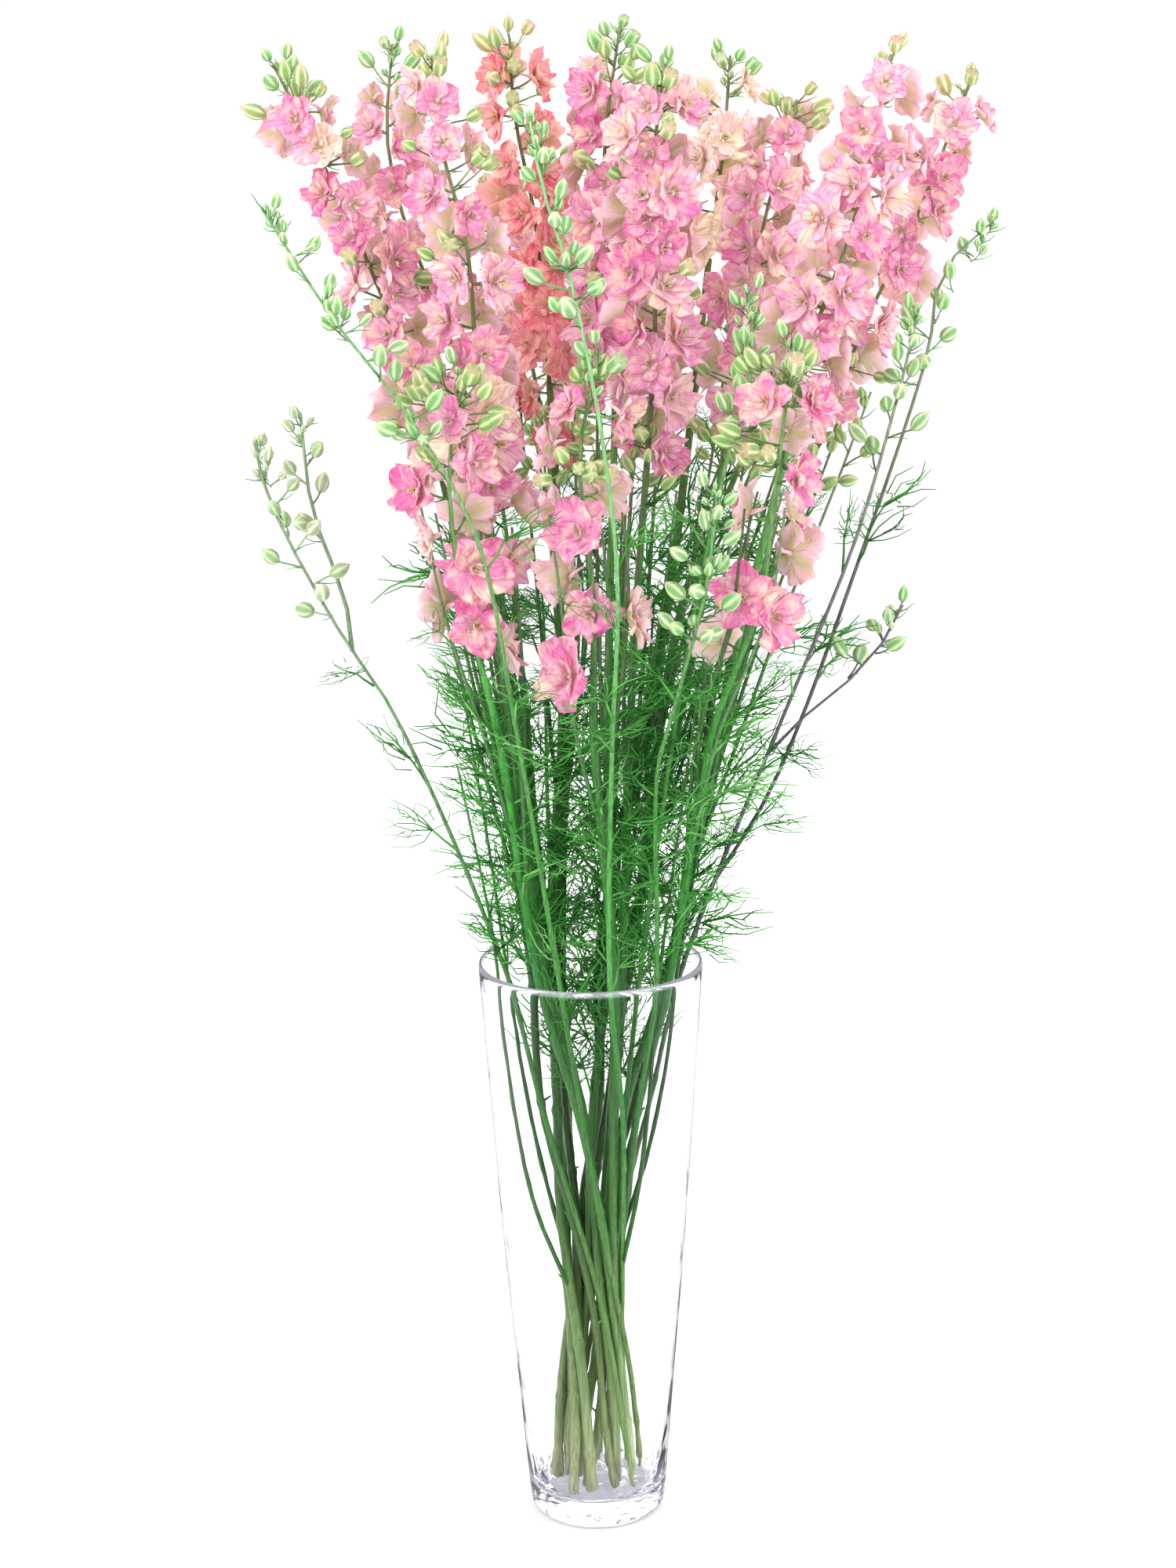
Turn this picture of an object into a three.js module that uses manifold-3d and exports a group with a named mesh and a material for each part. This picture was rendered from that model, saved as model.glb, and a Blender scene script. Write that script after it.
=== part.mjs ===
// Cut delphinium stems standing in a tapered glass vase.
// Millimetres, Z up. The vase stands on z = 0 with its axis on Z; -Y is the front.

import * as THREE from 'three';
import Module from 'manifold-3d';

const wasm = await Module();
wasm.setup();

// ---------------------------------------------------------------- dimensions

const RIM_HEIGHT = 368;
const FLOOR_HEIGHT = 16.5;
const JOINT_GAP = 0.3;

// Vase: [radius, height] pairs, up the outside and down the inside.
const VASE_SEGMENTS = 26;
const VASE_OUTSIDE = [[38, 0], [42, 2.5], [43.5, 8], [51, 98], [57.4, 170], [70, 366]];
const VASE_INSIDE = [
  [68.5, RIM_HEIGHT], [66.8, 366], [54.4, 170], [40.8, 27], [37, FLOOR_HEIGHT - JOINT_GAP],
];
// The inner wall between two heights, and how far everything keeps from it.
const WALL_HEIGHTS = [98, 366];
const WALL_RADII = [47.8, 66.8];
const WALL_MARGIN = 2.5;
const OUTSIDE_RADIUS = 76;
const OPEN_ABOVE_RIM = 3;

// The stems cross at a waist inside the vase, like the wires of a twisted sheaf.
const WAIST_HEIGHT = 150;
const WAIST_RADIUS = 18.5;
const SPREAD_ABOVE = 0.26;
const SPREAD_BELOW = 0.18;
const SPREAD_BLEND = 50;
const LAYOUT_HEIGHT = 700;
const SHEAF_REACH = 1;
const SHEAF_HEIGHTS = [FLOOR_HEIGHT, 58, 104, WAIST_HEIGHT, 200, 275, RIM_HEIGHT];
// A stem's slow sway: its size, and in x and y the height of a wave and its lag between stems.
const WOBBLE = 0.15;
const WAVE_HEIGHTS = [62, 55];
const WAVE_LAGS = [2.4, 1.7];
const LAYOUT_ROUNDS = 400;
const LEVEL_ROUNDS = 200;

// Stems: rings of few sides, nearer to each other where the stem is thin.
const STEM_SIDES = 4;
const STEM_RADIUS = 2.9;
const STEM_TAPER = 0.42;
const THIN_RADIUS = 1.6;
const THIN_TAPER = 0.55;
const BRANCH_RADII = [1.5, 0.9];
const STEM_CLEARANCE = 1.3;
const STEM_POINT = 2;
const OPEN_STEM_SHARE = 0.92;
const LOW_STEP = 62;
const OPEN_STEP = 52;
const TIP_STEP = 30;

const GOLDEN_ANGLE = 2.39996;
const FLORET_RADIUS = 20;
const FLORET_CLEARANCE = 1.6;
const STALK_RADIUS = 1.4;
const THIN_STALK_RADIUS = 1.2;
const BUD_LENGTH = 15;
const BUD_RADIUS = 4.4;
const BUD_NECK_RADIUS = 1.3;
const BUD_CLEARANCE = 0.6;
const LEAF_FINGERS = 6;
const LEAF_LENGTH = 48;
const LEAF_FAN = 2.3;
const LEAF_WEB_RADIUS = 5.5;
const LEAF_HALF_THICKNESS = 1.3;
const LEAF_STALK_RADIUS = 1.5;
const FINGER_RADIUS = 1.1;
const LEAF_CLEARANCE = 1.5;
const LEAF_SPACING = 46;
const LEAF_BOTTOM = 350;
const LEAF_TOP = 665;
const THIN_LEAF_BOTTOM = 400;
const THIN_LEAF_SIZE = 0.8;

// The room that a floret takes up, in shares of its radius: a saucer with a raised middle.
const SAUCER = { edge: 1.08, slope: 0.42, rim: 0.18, middle: 0.55, height: 0.62, reach: 1.15 };
const SAUCER_UNDERSIDE = 1.5;
const SAMPLE_STEP = 2.5;
const ROOT_ZONE = 8;
// Variants tried for each place, and those after which a floret may swing round or shrink.
const TRIES = 14;
const SWING_AFTER = 4;
const SHRINK_AFTER = 9;

// One run of random streams for each kind of growth.
const STREAMS = { floret: 1, tipBud: 2, leaf: 3, bud: 4, branchBud: 5 };

// Flowering stems: the path of the axis above the rim, the heights between which the
// florets open, how many there are, the buds above them and the tint of the petals.
const FLOWERING = [
  { id: '01', path: [[-61, 12, 530], [-92, 22, 692], [-133, 28, 810], [-178, 25, 908]],
    open: [665, 880], florets: 10, buds: 5, tint: 'rose' },
  { id: '02', path: [[-50, 55, 560], [-78, 92, 727], [-111, 108, 822], [-119, 112, 868],
    [-114, 112, 923]], open: [755, 885], florets: 6, buds: 6, tint: 'rose' },
  { id: '03', path: [[-50, -28, 560], [-60, -40, 690], [-64, -42, 800], [-80, -40, 870],
    [-81, -40, 910]], open: [600, 890], florets: 11, buds: 3, tint: 'rose' },
  { id: '04', path: [[-14, 62, 560], [-20, 100, 700], [-28, 115, 815], [-40, 120, 880],
    [-42, 120, 926]], open: [715, 906], florets: 9, buds: 3, tint: 'coral' },
  { id: '05', path: [[14, 22, 560], [20, 36, 739], [15, 40, 853], [25, 40, 928]],
    open: [725, 898], florets: 10, buds: 4, tint: 'rose' },
  { id: '06', path: [[28, -22, 560], [42, -42, 756], [40, -50, 831], [48, -52, 903]],
    open: [715, 884], florets: 10, buds: 4, tint: 'rose' },
  { id: '07', path: [[48, 60, 560], [68, 98, 690], [82, 120, 800], [90, 126, 855],
    [95, 130, 914]], open: [790, 890], florets: 5, buds: 5, tint: 'blush' },
  { id: '08', path: [[66, 22, 560], [90, 42, 700], [109, 48, 807], [121, 48, 852],
    [130, 48, 885]], open: [735, 867], florets: 7, buds: 3, tint: 'rose' },
  { id: '09', path: [[88, -22, 560], [112, -34, 660], [134, -38, 755], [155, -38, 812],
    [176, -36, 907]], open: [735, 888], florets: 8, buds: 3, tint: 'rose' },
  { id: '10', path: [[100, 30, 560], [140, 48, 670], [170, 60, 746], [203, 66, 812],
    [235, 68, 893]], open: [740, 874], florets: 7, buds: 3, tint: 'rose' },
  { id: '11', path: [[-52, -52, 520], [-68, -74, 600], [-76, -86, 670], [-68, -92, 740]],
    open: [560, 717], florets: 7, buds: 3, tint: 'rose' },
  { id: '12', path: [[72, -60, 520], [98, -86, 600], [108, -102, 680], [116, -106, 752]],
    open: [560, 729], florets: 7, buds: 3, tint: 'rose' },
  { id: '13', path: [[4, -60, 520], [4, -80, 610], [-2, -90, 690], [10, -94, 748]],
    open: [545, 725], florets: 7, buds: 3, tint: 'rose' },
  { id: '14', path: [[-12, 110, 560], [-25, 150, 680], [-42, 172, 770], [-52, 178, 836]],
    open: [700, 813], florets: 5, buds: 3, tint: 'rose' },
  { id: '15', path: [[60, 105, 560], [110, 140, 680], [135, 152, 760], [150, 156, 826]],
    open: [700, 803], florets: 5, buds: 3, tint: 'rose' },
];

// Thin stems with closed buds: the path above the rim and the height where the buds begin.
const BUDDING = [
  { id: '01', path: [[-112, -40, 529], [-146, -42, 586], [-182, -44, 660], [-190, -44, 696]],
    buds: [590, 11], branch: { from: 572, path: [[-142, -30, 600], [-160, -24, 654],
      [-165, -22, 710]], buds: [630, 7] } },
  { id: '02', path: [[-42, -88, 540], [-60, -122, 650], [-97, -122, 719], [-134, -116, 767],
    [-172, -112, 828]], buds: [700, 12] },
  { id: '03', path: [[14, -88, 520], [18, -125, 620], [10, -138, 706], [-6, -142, 791],
    [-20, -145, 839], [-26, -145, 874]], buds: [760, 11] },
  { id: '04', path: [[58, -42, 560], [82, -58, 682], [96, -64, 734], [94, -68, 780]],
    buds: [695, 9] },
  { id: '05', path: [[40, -75, 500], [50, -100, 548], [67, -124, 619], [73, -134, 676]],
    buds: [596, 10] },
  { id: '06', path: [[120, -18, 529], [158, -34, 630], [182, -40, 717], [193, -42, 766]],
    buds: [670, 10], branch: { from: 500, path: [[139, -16, 531], [168, -22, 556],
      [188, -26, 592]], buds: [545, 6] } },
  { id: '07', path: [[114, 8, 476], [169, 10, 624], [205, 8, 737], [213, 6, 785],
    [244, 4, 816]], buds: [716, 11] },
];

// ------------------------------------------------------------------- helpers

// A repeatable stream of numbers from 0 to 1, one for every placed leaf, floret or bud.
function stream(kind, stem, item) {
  let state = (kind * 7919 + stem * 104729 + item * 1299709 + 12345) % 4294967296;
  const next = () => {
    state = (state * 1664525 + 1013904223) % 4294967296;
    return state / 4294967296;
  };
  next();
  next();
  return next;
}

const add = (a, b, s = 1) => [a[0] + b[0] * s, a[1] + b[1] * s, a[2] + b[2] * s];
const sub = (a, b) => [a[0] - b[0], a[1] - b[1], a[2] - b[2]];
const dot = (a, b) => a[0] * b[0] + a[1] * b[1] + a[2] * b[2];
const unit = (a) => a.map((v) => v / Math.hypot(...a));
const cross = (a, b) => [
  a[1] * b[2] - a[2] * b[1], a[2] * b[0] - a[0] * b[2], a[0] * b[1] - a[1] * b[0],
];
const mix = (a, b, t) => a + (b - a) * t;

function direction(azimuth, rise) {
  const flat = Math.cos(rise);
  return [Math.cos(azimuth) * flat, Math.sin(azimuth) * flat, Math.sin(rise)];
}

// Two axes square to a direction, turned about it by the given angle.
function crossAxes(axis, turn = 0) {
  const upright = Math.abs(axis[2]) > 0.95;
  const level = unit(cross(upright ? [0, 1, 0] : [0, 0, 1], axis));
  const other = cross(axis, level);
  const c = Math.cos(turn);
  const s = Math.sin(turn);
  const u = [0, 1, 2].map((k) => level[k] * c + other[k] * s);
  return [u, cross(axis, u)];
}

// -------------------------------------------------------------- stem courses

function spreadAt(z) {
  const rise = z - WAIST_HEIGHT;
  if (rise > 0) return rise * SPREAD_ABOVE;
  return rise * mix(SPREAD_BELOW, SPREAD_ABOVE, Math.exp(rise / SPREAD_BLEND));
}

// Where a stem's place in the sheaf lies at the layout height, from its path.
function layoutPlace(path) {
  let k = 1;
  while (k < path.length - 1 && path[k][2] < LAYOUT_HEIGHT) k += 1;
  const [a, b] = [path[k - 1], path[k]];
  const t = (LAYOUT_HEIGHT - a[2]) / (b[2] - a[2]);
  return [mix(a[0], b[0], t), mix(a[1], b[1], t)];
}

// A stem's place in the sheaf is a point in a round bundle of about unit radius; the bundle
// turns and widens above and below the waist, so straight stems never meet.
function placesInSheaf(stems) {
  const k = spreadAt(LAYOUT_HEIGHT);
  const size = WAIST_RADIUS ** 2 + k ** 2;
  const places = stems.map((stem) => {
    const [x, y] = layoutPlace(stem.path);
    const p = [(WAIST_RADIUS * x - k * y) / size, (WAIST_RADIUS * y + k * x) / size];
    const shrink = Math.min(1, SHEAF_REACH / Math.hypot(...p));
    return [p[0] * shrink, p[1] * shrink];
  });
  pushApart(places, stems, WAIST_HEIGHT, LAYOUT_ROUNDS);
  return places;
}

function pushApart(places, stems, z, rounds) {
  const scale = Math.hypot(WAIST_RADIUS, spreadAt(z));
  for (let round = 0; round < rounds; round += 1) pushOnce(places, stems, scale);
}

function pushOnce(places, stems, scale) {
  for (let i = 0; i < places.length; i += 1) {
    for (let j = i + 1; j < places.length; j += 1) {
      const dx = places[j][0] - places[i][0];
      const dy = places[j][1] - places[i][1];
      const far = Math.hypot(dx, dy);
      const wanted = (stems[i].radius + stems[j].radius + STEM_CLEARANCE) / scale;
      if (far < wanted) {
        const push = (wanted - far) / far / 2;
        places[i] = [places[i][0] - dx * push, places[i][1] - dy * push];
        places[j] = [places[j][0] + dx * push, places[j][1] + dy * push];
      }
    }
    const shrink = Math.min(1, SHEAF_REACH / Math.hypot(...places[i]));
    places[i] = [places[i][0] * shrink, places[i][1] * shrink];
  }
}

// The points of every stem in the vase: its place, a slow wobble of its own, and the
// push that keeps neighbours apart at each height.
function sheafPoints(stems) {
  const places = placesInSheaf(stems);
  const points = stems.map(() => []);
  SHEAF_HEIGHTS.forEach((z) => {
    const level = places.map(([x, y], i) => {
      const size = WOBBLE * (stems[i].radius / STEM_RADIUS);
      const sway = WAVE_HEIGHTS.map((h, c) => size * Math.sin(z / h + i * WAVE_LAGS[c]));
      return [x + sway[0], y + sway[1]];
    });
    pushApart(level, stems, z, LEVEL_ROUNDS);
    const k = spreadAt(z);
    level.forEach(([x, y], i) => {
      points[i].push([WAIST_RADIUS * x + k * y, WAIST_RADIUS * y - k * x, z]);
    });
  });
  return points;
}

// The axis of a stem as a smooth function of height: a cubic curve through its points.
function curveThrough(knots) {
  const last = knots.length - 1;
  const slopes = knots.map((knot, k) => {
    const a = knots[Math.max(k - 1, 0)];
    const b = knots[Math.min(k + 1, last)];
    return [(b[0] - a[0]) / (b[2] - a[2]), (b[1] - a[1]) / (b[2] - a[2])];
  });
  return (z) => {
    let k = 1;
    while (k < last && knots[k][2] < z) k += 1;
    const [a, b] = [knots[k - 1], knots[k]];
    const h = b[2] - a[2];
    const t = (z - a[2]) / h;
    const blend = [2 * t ** 3 - 3 * t ** 2 + 1, (t ** 3 - 2 * t ** 2 + t) * h,
      3 * t ** 2 - 2 * t ** 3, (t ** 3 - t ** 2) * h];
    const at = (c) => a[c] * blend[0] + slopes[k - 1][c] * blend[1]
      + b[c] * blend[2] + slopes[k][c] * blend[3];
    return [at(0), at(1), z];
  };
}

// The same course as straight runs between the given heights, as a faceted stem has it.
function facetedCourse(course, heights) {
  return (z) => {
    let k = 1;
    while (k < heights.length - 1 && heights[k] < z) k += 1;
    const [a, b] = [course(heights[k - 1]), course(heights[k])];
    return add(a, sub(b, a), (z - heights[k - 1]) / (heights[k] - heights[k - 1]));
  };
}

// ---------------------------------------------------------------- plain solids

class Solid {
  constructor() {
    this.points = [];
    this.faces = [];
  }

  point(p) {
    this.points.push(p);
    return this.points.length - 1;
  }

  ring(points) {
    return points.map((p) => this.point(p));
  }

  face(a, b, c) {
    this.faces.push([a, b, c]);
  }

  // A band of faces between two rings of any two counts, both wound the same way.
  band(low, high) {
    let i = 0;
    let j = 0;
    while (i < low.length || j < high.length) {
      const a = low[i % low.length];
      const b = high[j % high.length];
      if (j >= high.length || (i < low.length && (i + 1) / low.length <= (j + 1) / high.length)) {
        this.face(a, low[(i + 1) % low.length], b);
        i += 1;
      } else {
        this.face(a, high[(j + 1) % high.length], b);
        j += 1;
      }
    }
  }

  cone(ring, tip) {
    ring.forEach((a, k) => this.face(a, ring[(k + 1) % ring.length], tip));
  }

  volume() {
    return this.faces.reduce((sum, [a, b, c]) => sum
      + dot(this.points[a], cross(this.points[b], this.points[c])) / 6, 0);
  }

  toManifold() {
    const flip = this.volume() < 0;
    const order = this.faces.flatMap(([a, b, c]) => (flip ? [a, c, b] : [a, b, c]));
    const mesh = new wasm.Mesh({
      numProp: 3,
      vertProperties: new Float32Array(this.points.flat()),
      triVerts: new Uint32Array(order),
    });
    return new wasm.Manifold(mesh);
  }
}

function circle(centre, radius, sides) {
  return Array.from({ length: sides }, (_, k) => {
    const angle = (k / sides) * 2 * Math.PI;
    return [centre[0] + Math.cos(angle) * radius, centre[1] + Math.sin(angle) * radius, centre[2]];
  });
}

// A piece of stem between the given heights, with a pointed or a flat top.
function stemSolid(course, radiusAt, heights, pointed) {
  const solid = new Solid();
  const rings = heights.map((z) => solid.ring(circle(course(z), radiusAt(z), STEM_SIDES)));
  rings.slice(1).forEach((ring, k) => solid.band(rings[k], ring));
  const bottom = solid.point(course(heights[0]));
  solid.cone([...rings[0]].reverse(), bottom);
  const top = course(heights[heights.length - 1]);
  const peak = add(top, [0, 0, 1], pointed ? STEM_POINT : 0);
  solid.cone(rings[rings.length - 1], solid.point(peak));
  return solid;
}

// ------------------------------------------------------------ keeping clear

// Everything already placed, as round-ended rods and saucers to keep clear of.
const placed = [];

function addRod(owner, a, b, radius) {
  const middle = [0, 1, 2].map((k) => (a[k] + b[k]) / 2);
  const reach = Math.hypot(...sub(b, a)) / 2 + radius;
  placed.push({ owner, middle, reach, a, b, radius });
}

function addSaucer(owner, base, axis, radius) {
  const middle = add(base, axis, radius * 0.4);
  placed.push({ owner, middle, reach: radius * SAUCER.reach, base, axis, size: radius });
}

function nearRod(item, q, margin) {
  const ab = sub(item.b, item.a);
  const t = Math.min(1, Math.max(0, dot(sub(q, item.a), ab) / dot(ab, ab)));
  return Math.hypot(...sub(q, add(item.a, ab, t))) < item.radius + margin;
}

function nearSaucer(item, q, margin) {
  const rel = sub(q, item.base);
  const h = dot(rel, item.axis);
  const out = Math.hypot(...sub(rel, item.axis.map((v) => v * h)));
  if (out > item.size * SAUCER.edge + margin) return false;
  const bowl = SAUCER.slope * out;
  const inMiddle = out < item.size * SAUCER.middle;
  const top = inMiddle ? item.size * SAUCER.height : bowl + item.size * SAUCER.rim;
  return h > bowl * 0.75 - SAUCER_UNDERSIDE - margin && h < top + margin;
}

// True when none of the sample points touches a placed thing or the glass.
function isClear(samples, root, margin, owner) {
  const middle = [0, 1, 2].map((k) => samples.reduce((s, p) => s + p[k], 0) / samples.length);
  const reach = Math.max(...samples.map((p) => Math.hypot(...sub(p, middle))));
  const near = placed.filter((item) => Math.hypot(...sub(item.middle, middle))
    < reach + item.reach + margin);
  return samples.every((q) => {
    if (touchesGlass(q)) return false;
    const atRoot = Math.hypot(...sub(q, root)) < ROOT_ZONE;
    return near.every((item) => {
      if (atRoot && item.owner === owner) return true;
      return item.a ? !nearRod(item, q, margin) : !nearSaucer(item, q, margin);
    });
  });
}

function touchesGlass(q) {
  const out = Math.hypot(q[0], q[1]);
  if (q[2] > RIM_HEIGHT + OPEN_ABOVE_RIM) return false;
  const [low, high] = WALL_HEIGHTS;
  const k = Math.max(0, Math.min(1, (q[2] - low) / (high - low)));
  return out > mix(...WALL_RADII, k) - WALL_MARGIN && out < OUTSIDE_RADIUS;
}

function samplesAlong(a, b) {
  const count = Math.ceil(Math.hypot(...sub(b, a)) / SAMPLE_STEP);
  return Array.from({ length: count + 1 }, (_, k) => add(a, sub(b, a), k / count));
}

// ------------------------------------------------------- florets, buds, leaves

// A floret: five broad outer sepals in a saucer with a raised inner rosette, and a stalk
// that runs to a point inside the stem.
function floretPlan(root, rnd, size, turn) {
  const azimuth = turn + (rnd() - 0.5) * 0.7;
  const rise = mix(0.05, 0.5, rnd());
  const stalk = mix(12, 20, rnd());
  const out = direction(azimuth, rise);
  const base = add(root, out, stalk);
  const facing = direction(azimuth + (rnd() - 0.5) * 0.8, mix(-0.35, 0.45, rnd()));
  const axis = unit(add(facing, out, 0.5));
  const radius = size * mix(0.88, 1.12, rnd());
  const turnAbout = rnd() * 1.25;
  const ruffle = Array.from({ length: 5 }, rnd);
  return { root, base, axis, radius, turn: turnAbout, ruffle };
}

// The corners of a floret: five sepals with notches between them, and the inner rosette.
function floretPoints(plan) {
  const [u, v] = crossAxes(plan.axis, plan.turn);
  const at = (angle, out, height) => {
    const reach = out * plan.radius;
    const flat = add(add(plan.base, u, Math.cos(angle) * reach), v, Math.sin(angle) * reach);
    return add(flat, plan.axis, height * plan.radius);
  };
  const fifth = (2 * Math.PI) / 5;
  const outline = [];
  const valley = [];
  const rosette = [];
  for (let k = 0; k < 5; k += 1) {
    const ruffle = plan.ruffle[k];
    outline.push(at(k * fifth - 0.36, mix(0.92, 1.06, ruffle), mix(0.36, 0.56, 1 - ruffle)));
    outline.push(at(k * fifth + 0.36, mix(0.92, 1.06, 1 - ruffle), mix(0.36, 0.56, ruffle)));
    outline.push(at((k + 0.5) * fifth, 0.66, 0.3));
    valley.push(at((k + 0.5) * fifth, 0.25, 0.17));
    rosette.push(at((k + 0.25) * fifth, 0.44, mix(0.42, 0.58, ruffle)));
  }
  const collar = [0.5, 1.5, 2.5].map((k) => at((k * 2 * Math.PI) / 3 - 0.36, 0.11, 0));
  return { outline, valley, rosette, collar, heart: at(0, 0, 0.3) };
}

function floretSolid(plan) {
  const shape = floretPoints(plan);
  const solid = new Solid();
  const outline = solid.ring(shape.outline);
  const valley = solid.ring(shape.valley);
  const rosette = solid.ring(shape.rosette);
  for (let k = 0; k < 5; k += 1) {
    const before = (k + 4) % 5;
    const [left, right, notch] = [outline[3 * k], outline[3 * k + 1], outline[3 * k + 2]];
    solid.face(valley[before], outline[3 * before + 2], left);
    solid.face(valley[before], left, right);
    solid.face(valley[before], right, valley[k]);
    solid.face(valley[k], right, notch);
    solid.face(rosette[k], valley[before], valley[k]);
    solid.face(rosette[k], valley[k], rosette[(k + 1) % 5]);
  }
  solid.cone(rosette, solid.point(shape.heart));
  const collar = solid.ring(shape.collar);
  solid.band([...outline].reverse(), [...collar].reverse());
  solid.cone([...collar].reverse(), solid.point(plan.root));
  return solid;
}

function floretSamples(plan) {
  const { outline, rosette, heart } = floretPoints(plan);
  const halfway = (a, b) => a.map((c, k) => (c + b[k]) / 2);
  const halves = outline.map((p) => halfway(p, heart));
  const edges = outline.map((p, i) => halfway(p, outline[(i + 1) % outline.length]));
  const stalk = samplesAlong(plan.root, plan.base);
  return [...outline, ...rosette, ...halves, ...edges, ...stalk];
}

// A closed bud: a pointed oval on a stalk that runs to a point inside the stem.
function budPlan(root, rnd, size, turn, lift) {
  const azimuth = turn + (rnd() - 0.5) * 0.8;
  const rise = mix(lift - 0.35, lift + 0.3, rnd());
  const stalk = mix(9, 17, rnd()) * size;
  const base = add(root, direction(azimuth, rise), stalk);
  const axis = direction(azimuth, rise + mix(-0.1, 0.5, rnd()));
  return { root, base, axis, length: BUD_LENGTH * size * mix(0.85, 1.15, rnd()), size };
}

// Three points round the axis of a bud.
function budRing(plan, along, radius, turn) {
  const [u, v] = crossAxes(plan.axis);
  return [0, 1, 2].map((k) => {
    const angle = turn + (k / 3) * 2 * Math.PI;
    const p = add(add(plan.base, u, Math.cos(angle) * radius), v, Math.sin(angle) * radius);
    return add(p, plan.axis, along);
  });
}

function budSolid(plan) {
  const solid = new Solid();
  const neck = solid.ring(budRing(plan, 0, BUD_NECK_RADIUS, 0.3));
  const belly = solid.ring(budRing(plan, plan.length * 0.45, BUD_RADIUS * plan.size, 1.3));
  solid.band(neck, belly);
  solid.cone(belly, solid.point(add(plan.base, plan.axis, plan.length)));
  solid.cone([...neck].reverse(), solid.point(plan.root));
  return solid;
}

// A leaf: a stalk that opens into a hand of long, thin fingers.
function leafPlan(root, rnd, turn, size) {
  const azimuth = turn + (rnd() - 0.5) * 1.6;
  const rise = mix(0.35, 1.1, rnd());
  const out = direction(azimuth, rise);
  const hub = add(root, out, mix(14, 24, rnd()));
  const axis = unit(add(out, direction(azimuth, mix(-0.5, 0.6, rnd())), 0.8));
  const [side, face] = crossAxes(axis, mix(-0.7, 0.7, rnd()));
  const tips = [];
  for (let k = 0; k < LEAF_FINGERS; k += 1) {
    const t = k / (LEAF_FINGERS - 1) - 0.5;
    const angle = t * LEAF_FAN + (rnd() - 0.5) * 0.16;
    const length = LEAF_LENGTH * size * mix(0.75, 1.05, rnd()) * (1 - 0.55 * t * t);
    const lift = (rnd() - 0.5) * 0.5;
    const flat = [0, 1, 2].map((c) => axis[c] * Math.cos(angle) + side[c] * Math.sin(angle));
    tips.push(add(hub, unit(add(flat, face, lift)), length));
  }
  return { root, hub, axis, side, face, tips };
}

function leafSolid(plan) {
  const solid = new Solid();
  const spread = (angle, out) => add(add(plan.hub, plan.axis, Math.cos(angle) * out),
    plan.side, Math.sin(angle) * out);
  const outline = [solid.point(spread(-LEAF_FAN, LEAF_STALK_RADIUS))];
  plan.tips.forEach((tip, k) => {
    const between = ((k - 0.5) / (LEAF_FINGERS - 1) - 0.5) * LEAF_FAN;
    if (k > 0) outline.push(solid.point(spread(between, LEAF_WEB_RADIUS)));
    outline.push(solid.point(tip));
  });
  outline.push(solid.point(spread(LEAF_FAN, LEAF_STALK_RADIUS)));
  const top = solid.point(add(plan.hub, plan.face, LEAF_HALF_THICKNESS));
  const under = solid.point(add(plan.hub, plan.face, -LEAF_HALF_THICKNESS));
  const root = solid.point(plan.root);
  outline.slice(1).forEach((b, k) => {
    solid.face(outline[k], b, top);
    solid.face(b, outline[k], under);
  });
  const [first, last] = [outline[0], outline[outline.length - 1]];
  solid.face(last, root, top);
  solid.face(root, first, top);
  solid.face(root, last, under);
  solid.face(first, root, under);
  return solid;
}

function leafSamples(plan) {
  const fingers = plan.tips.flatMap((tip) => samplesAlong(plan.hub, tip));
  return [...samplesAlong(plan.root, plan.hub), ...fingers];
}

// --------------------------------------------------------------------- nodes

const group = new THREE.Group();
group.name = 'delphinium_vase';

const MATERIALS = {
  glass: ['#dfe9ea', 0.05],
  green: ['#3f8f4c', 0.6],
  budgreen: ['#8fcf96', 0.6],
  rose: ['#ea8fb4', 0.7],
  coral: ['#e98680', 0.7],
  blush: ['#f2bccb', 0.7],
};

function addMesh(name, material, positions, indices) {
  const geometry = new THREE.BufferGeometry();
  geometry.setAttribute('position', new THREE.BufferAttribute(positions, 3));
  geometry.setIndex(new THREE.BufferAttribute(indices, 1));
  geometry.computeVertexNormals();
  const [color, roughness] = MATERIALS[material];
  const look = new THREE.MeshStandardMaterial({ color, roughness });
  look.name = material;
  if (material === 'glass') {
    look.transparent = true;
    look.opacity = 0.35;
  }
  const mesh = new THREE.Mesh(geometry, look);
  mesh.name = name;
  group.add(mesh);
}

function addFused(name, material, solids) {
  const whole = solids.map((s) => s.toManifold()).reduce((a, b) => a.add(b));
  const mesh = whole.getMesh();
  addMesh(name, material, new Float32Array(mesh.vertProperties), new Uint32Array(mesh.triVerts));
}

function addVase() {
  const solid = new Solid();
  const profile = [...VASE_OUTSIDE, ...VASE_INSIDE];
  const rings = profile.map(([r, z]) => solid.ring(circle([0, 0, z], r, VASE_SEGMENTS)));
  rings.slice(1).forEach((ring, k) => solid.band(rings[k], ring));
  solid.cone([...rings[0]].reverse(), solid.point([0, 0, 0]));
  solid.cone(rings[rings.length - 1], solid.point([0, 0, FLOOR_HEIGHT - JOINT_GAP]));
  const positions = new Float32Array(solid.points.flat());
  addMesh('vase', 'glass', positions, new Uint32Array(solid.faces.flat()));
}

// -------------------------------------------------------------------- stems

// The first of several seeded variants that keeps clear of everything placed before it.
function firstClear(makePlan, samplesOf, root, margin, owner) {
  for (let attempt = 0; attempt < TRIES; attempt += 1) {
    const plan = makePlan(attempt);
    if (isClear(samplesOf(plan), root, margin, owner)) return plan;
  }
  return null;
}

const stems = [
  ...FLOWERING.map((row) => ({ ...row, flowering: true, radius: STEM_RADIUS })),
  ...BUDDING.map((row) => ({ ...row, flowering: false, radius: THIN_RADIUS })),
];

const sheaf = sheafPoints(stems);

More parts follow.
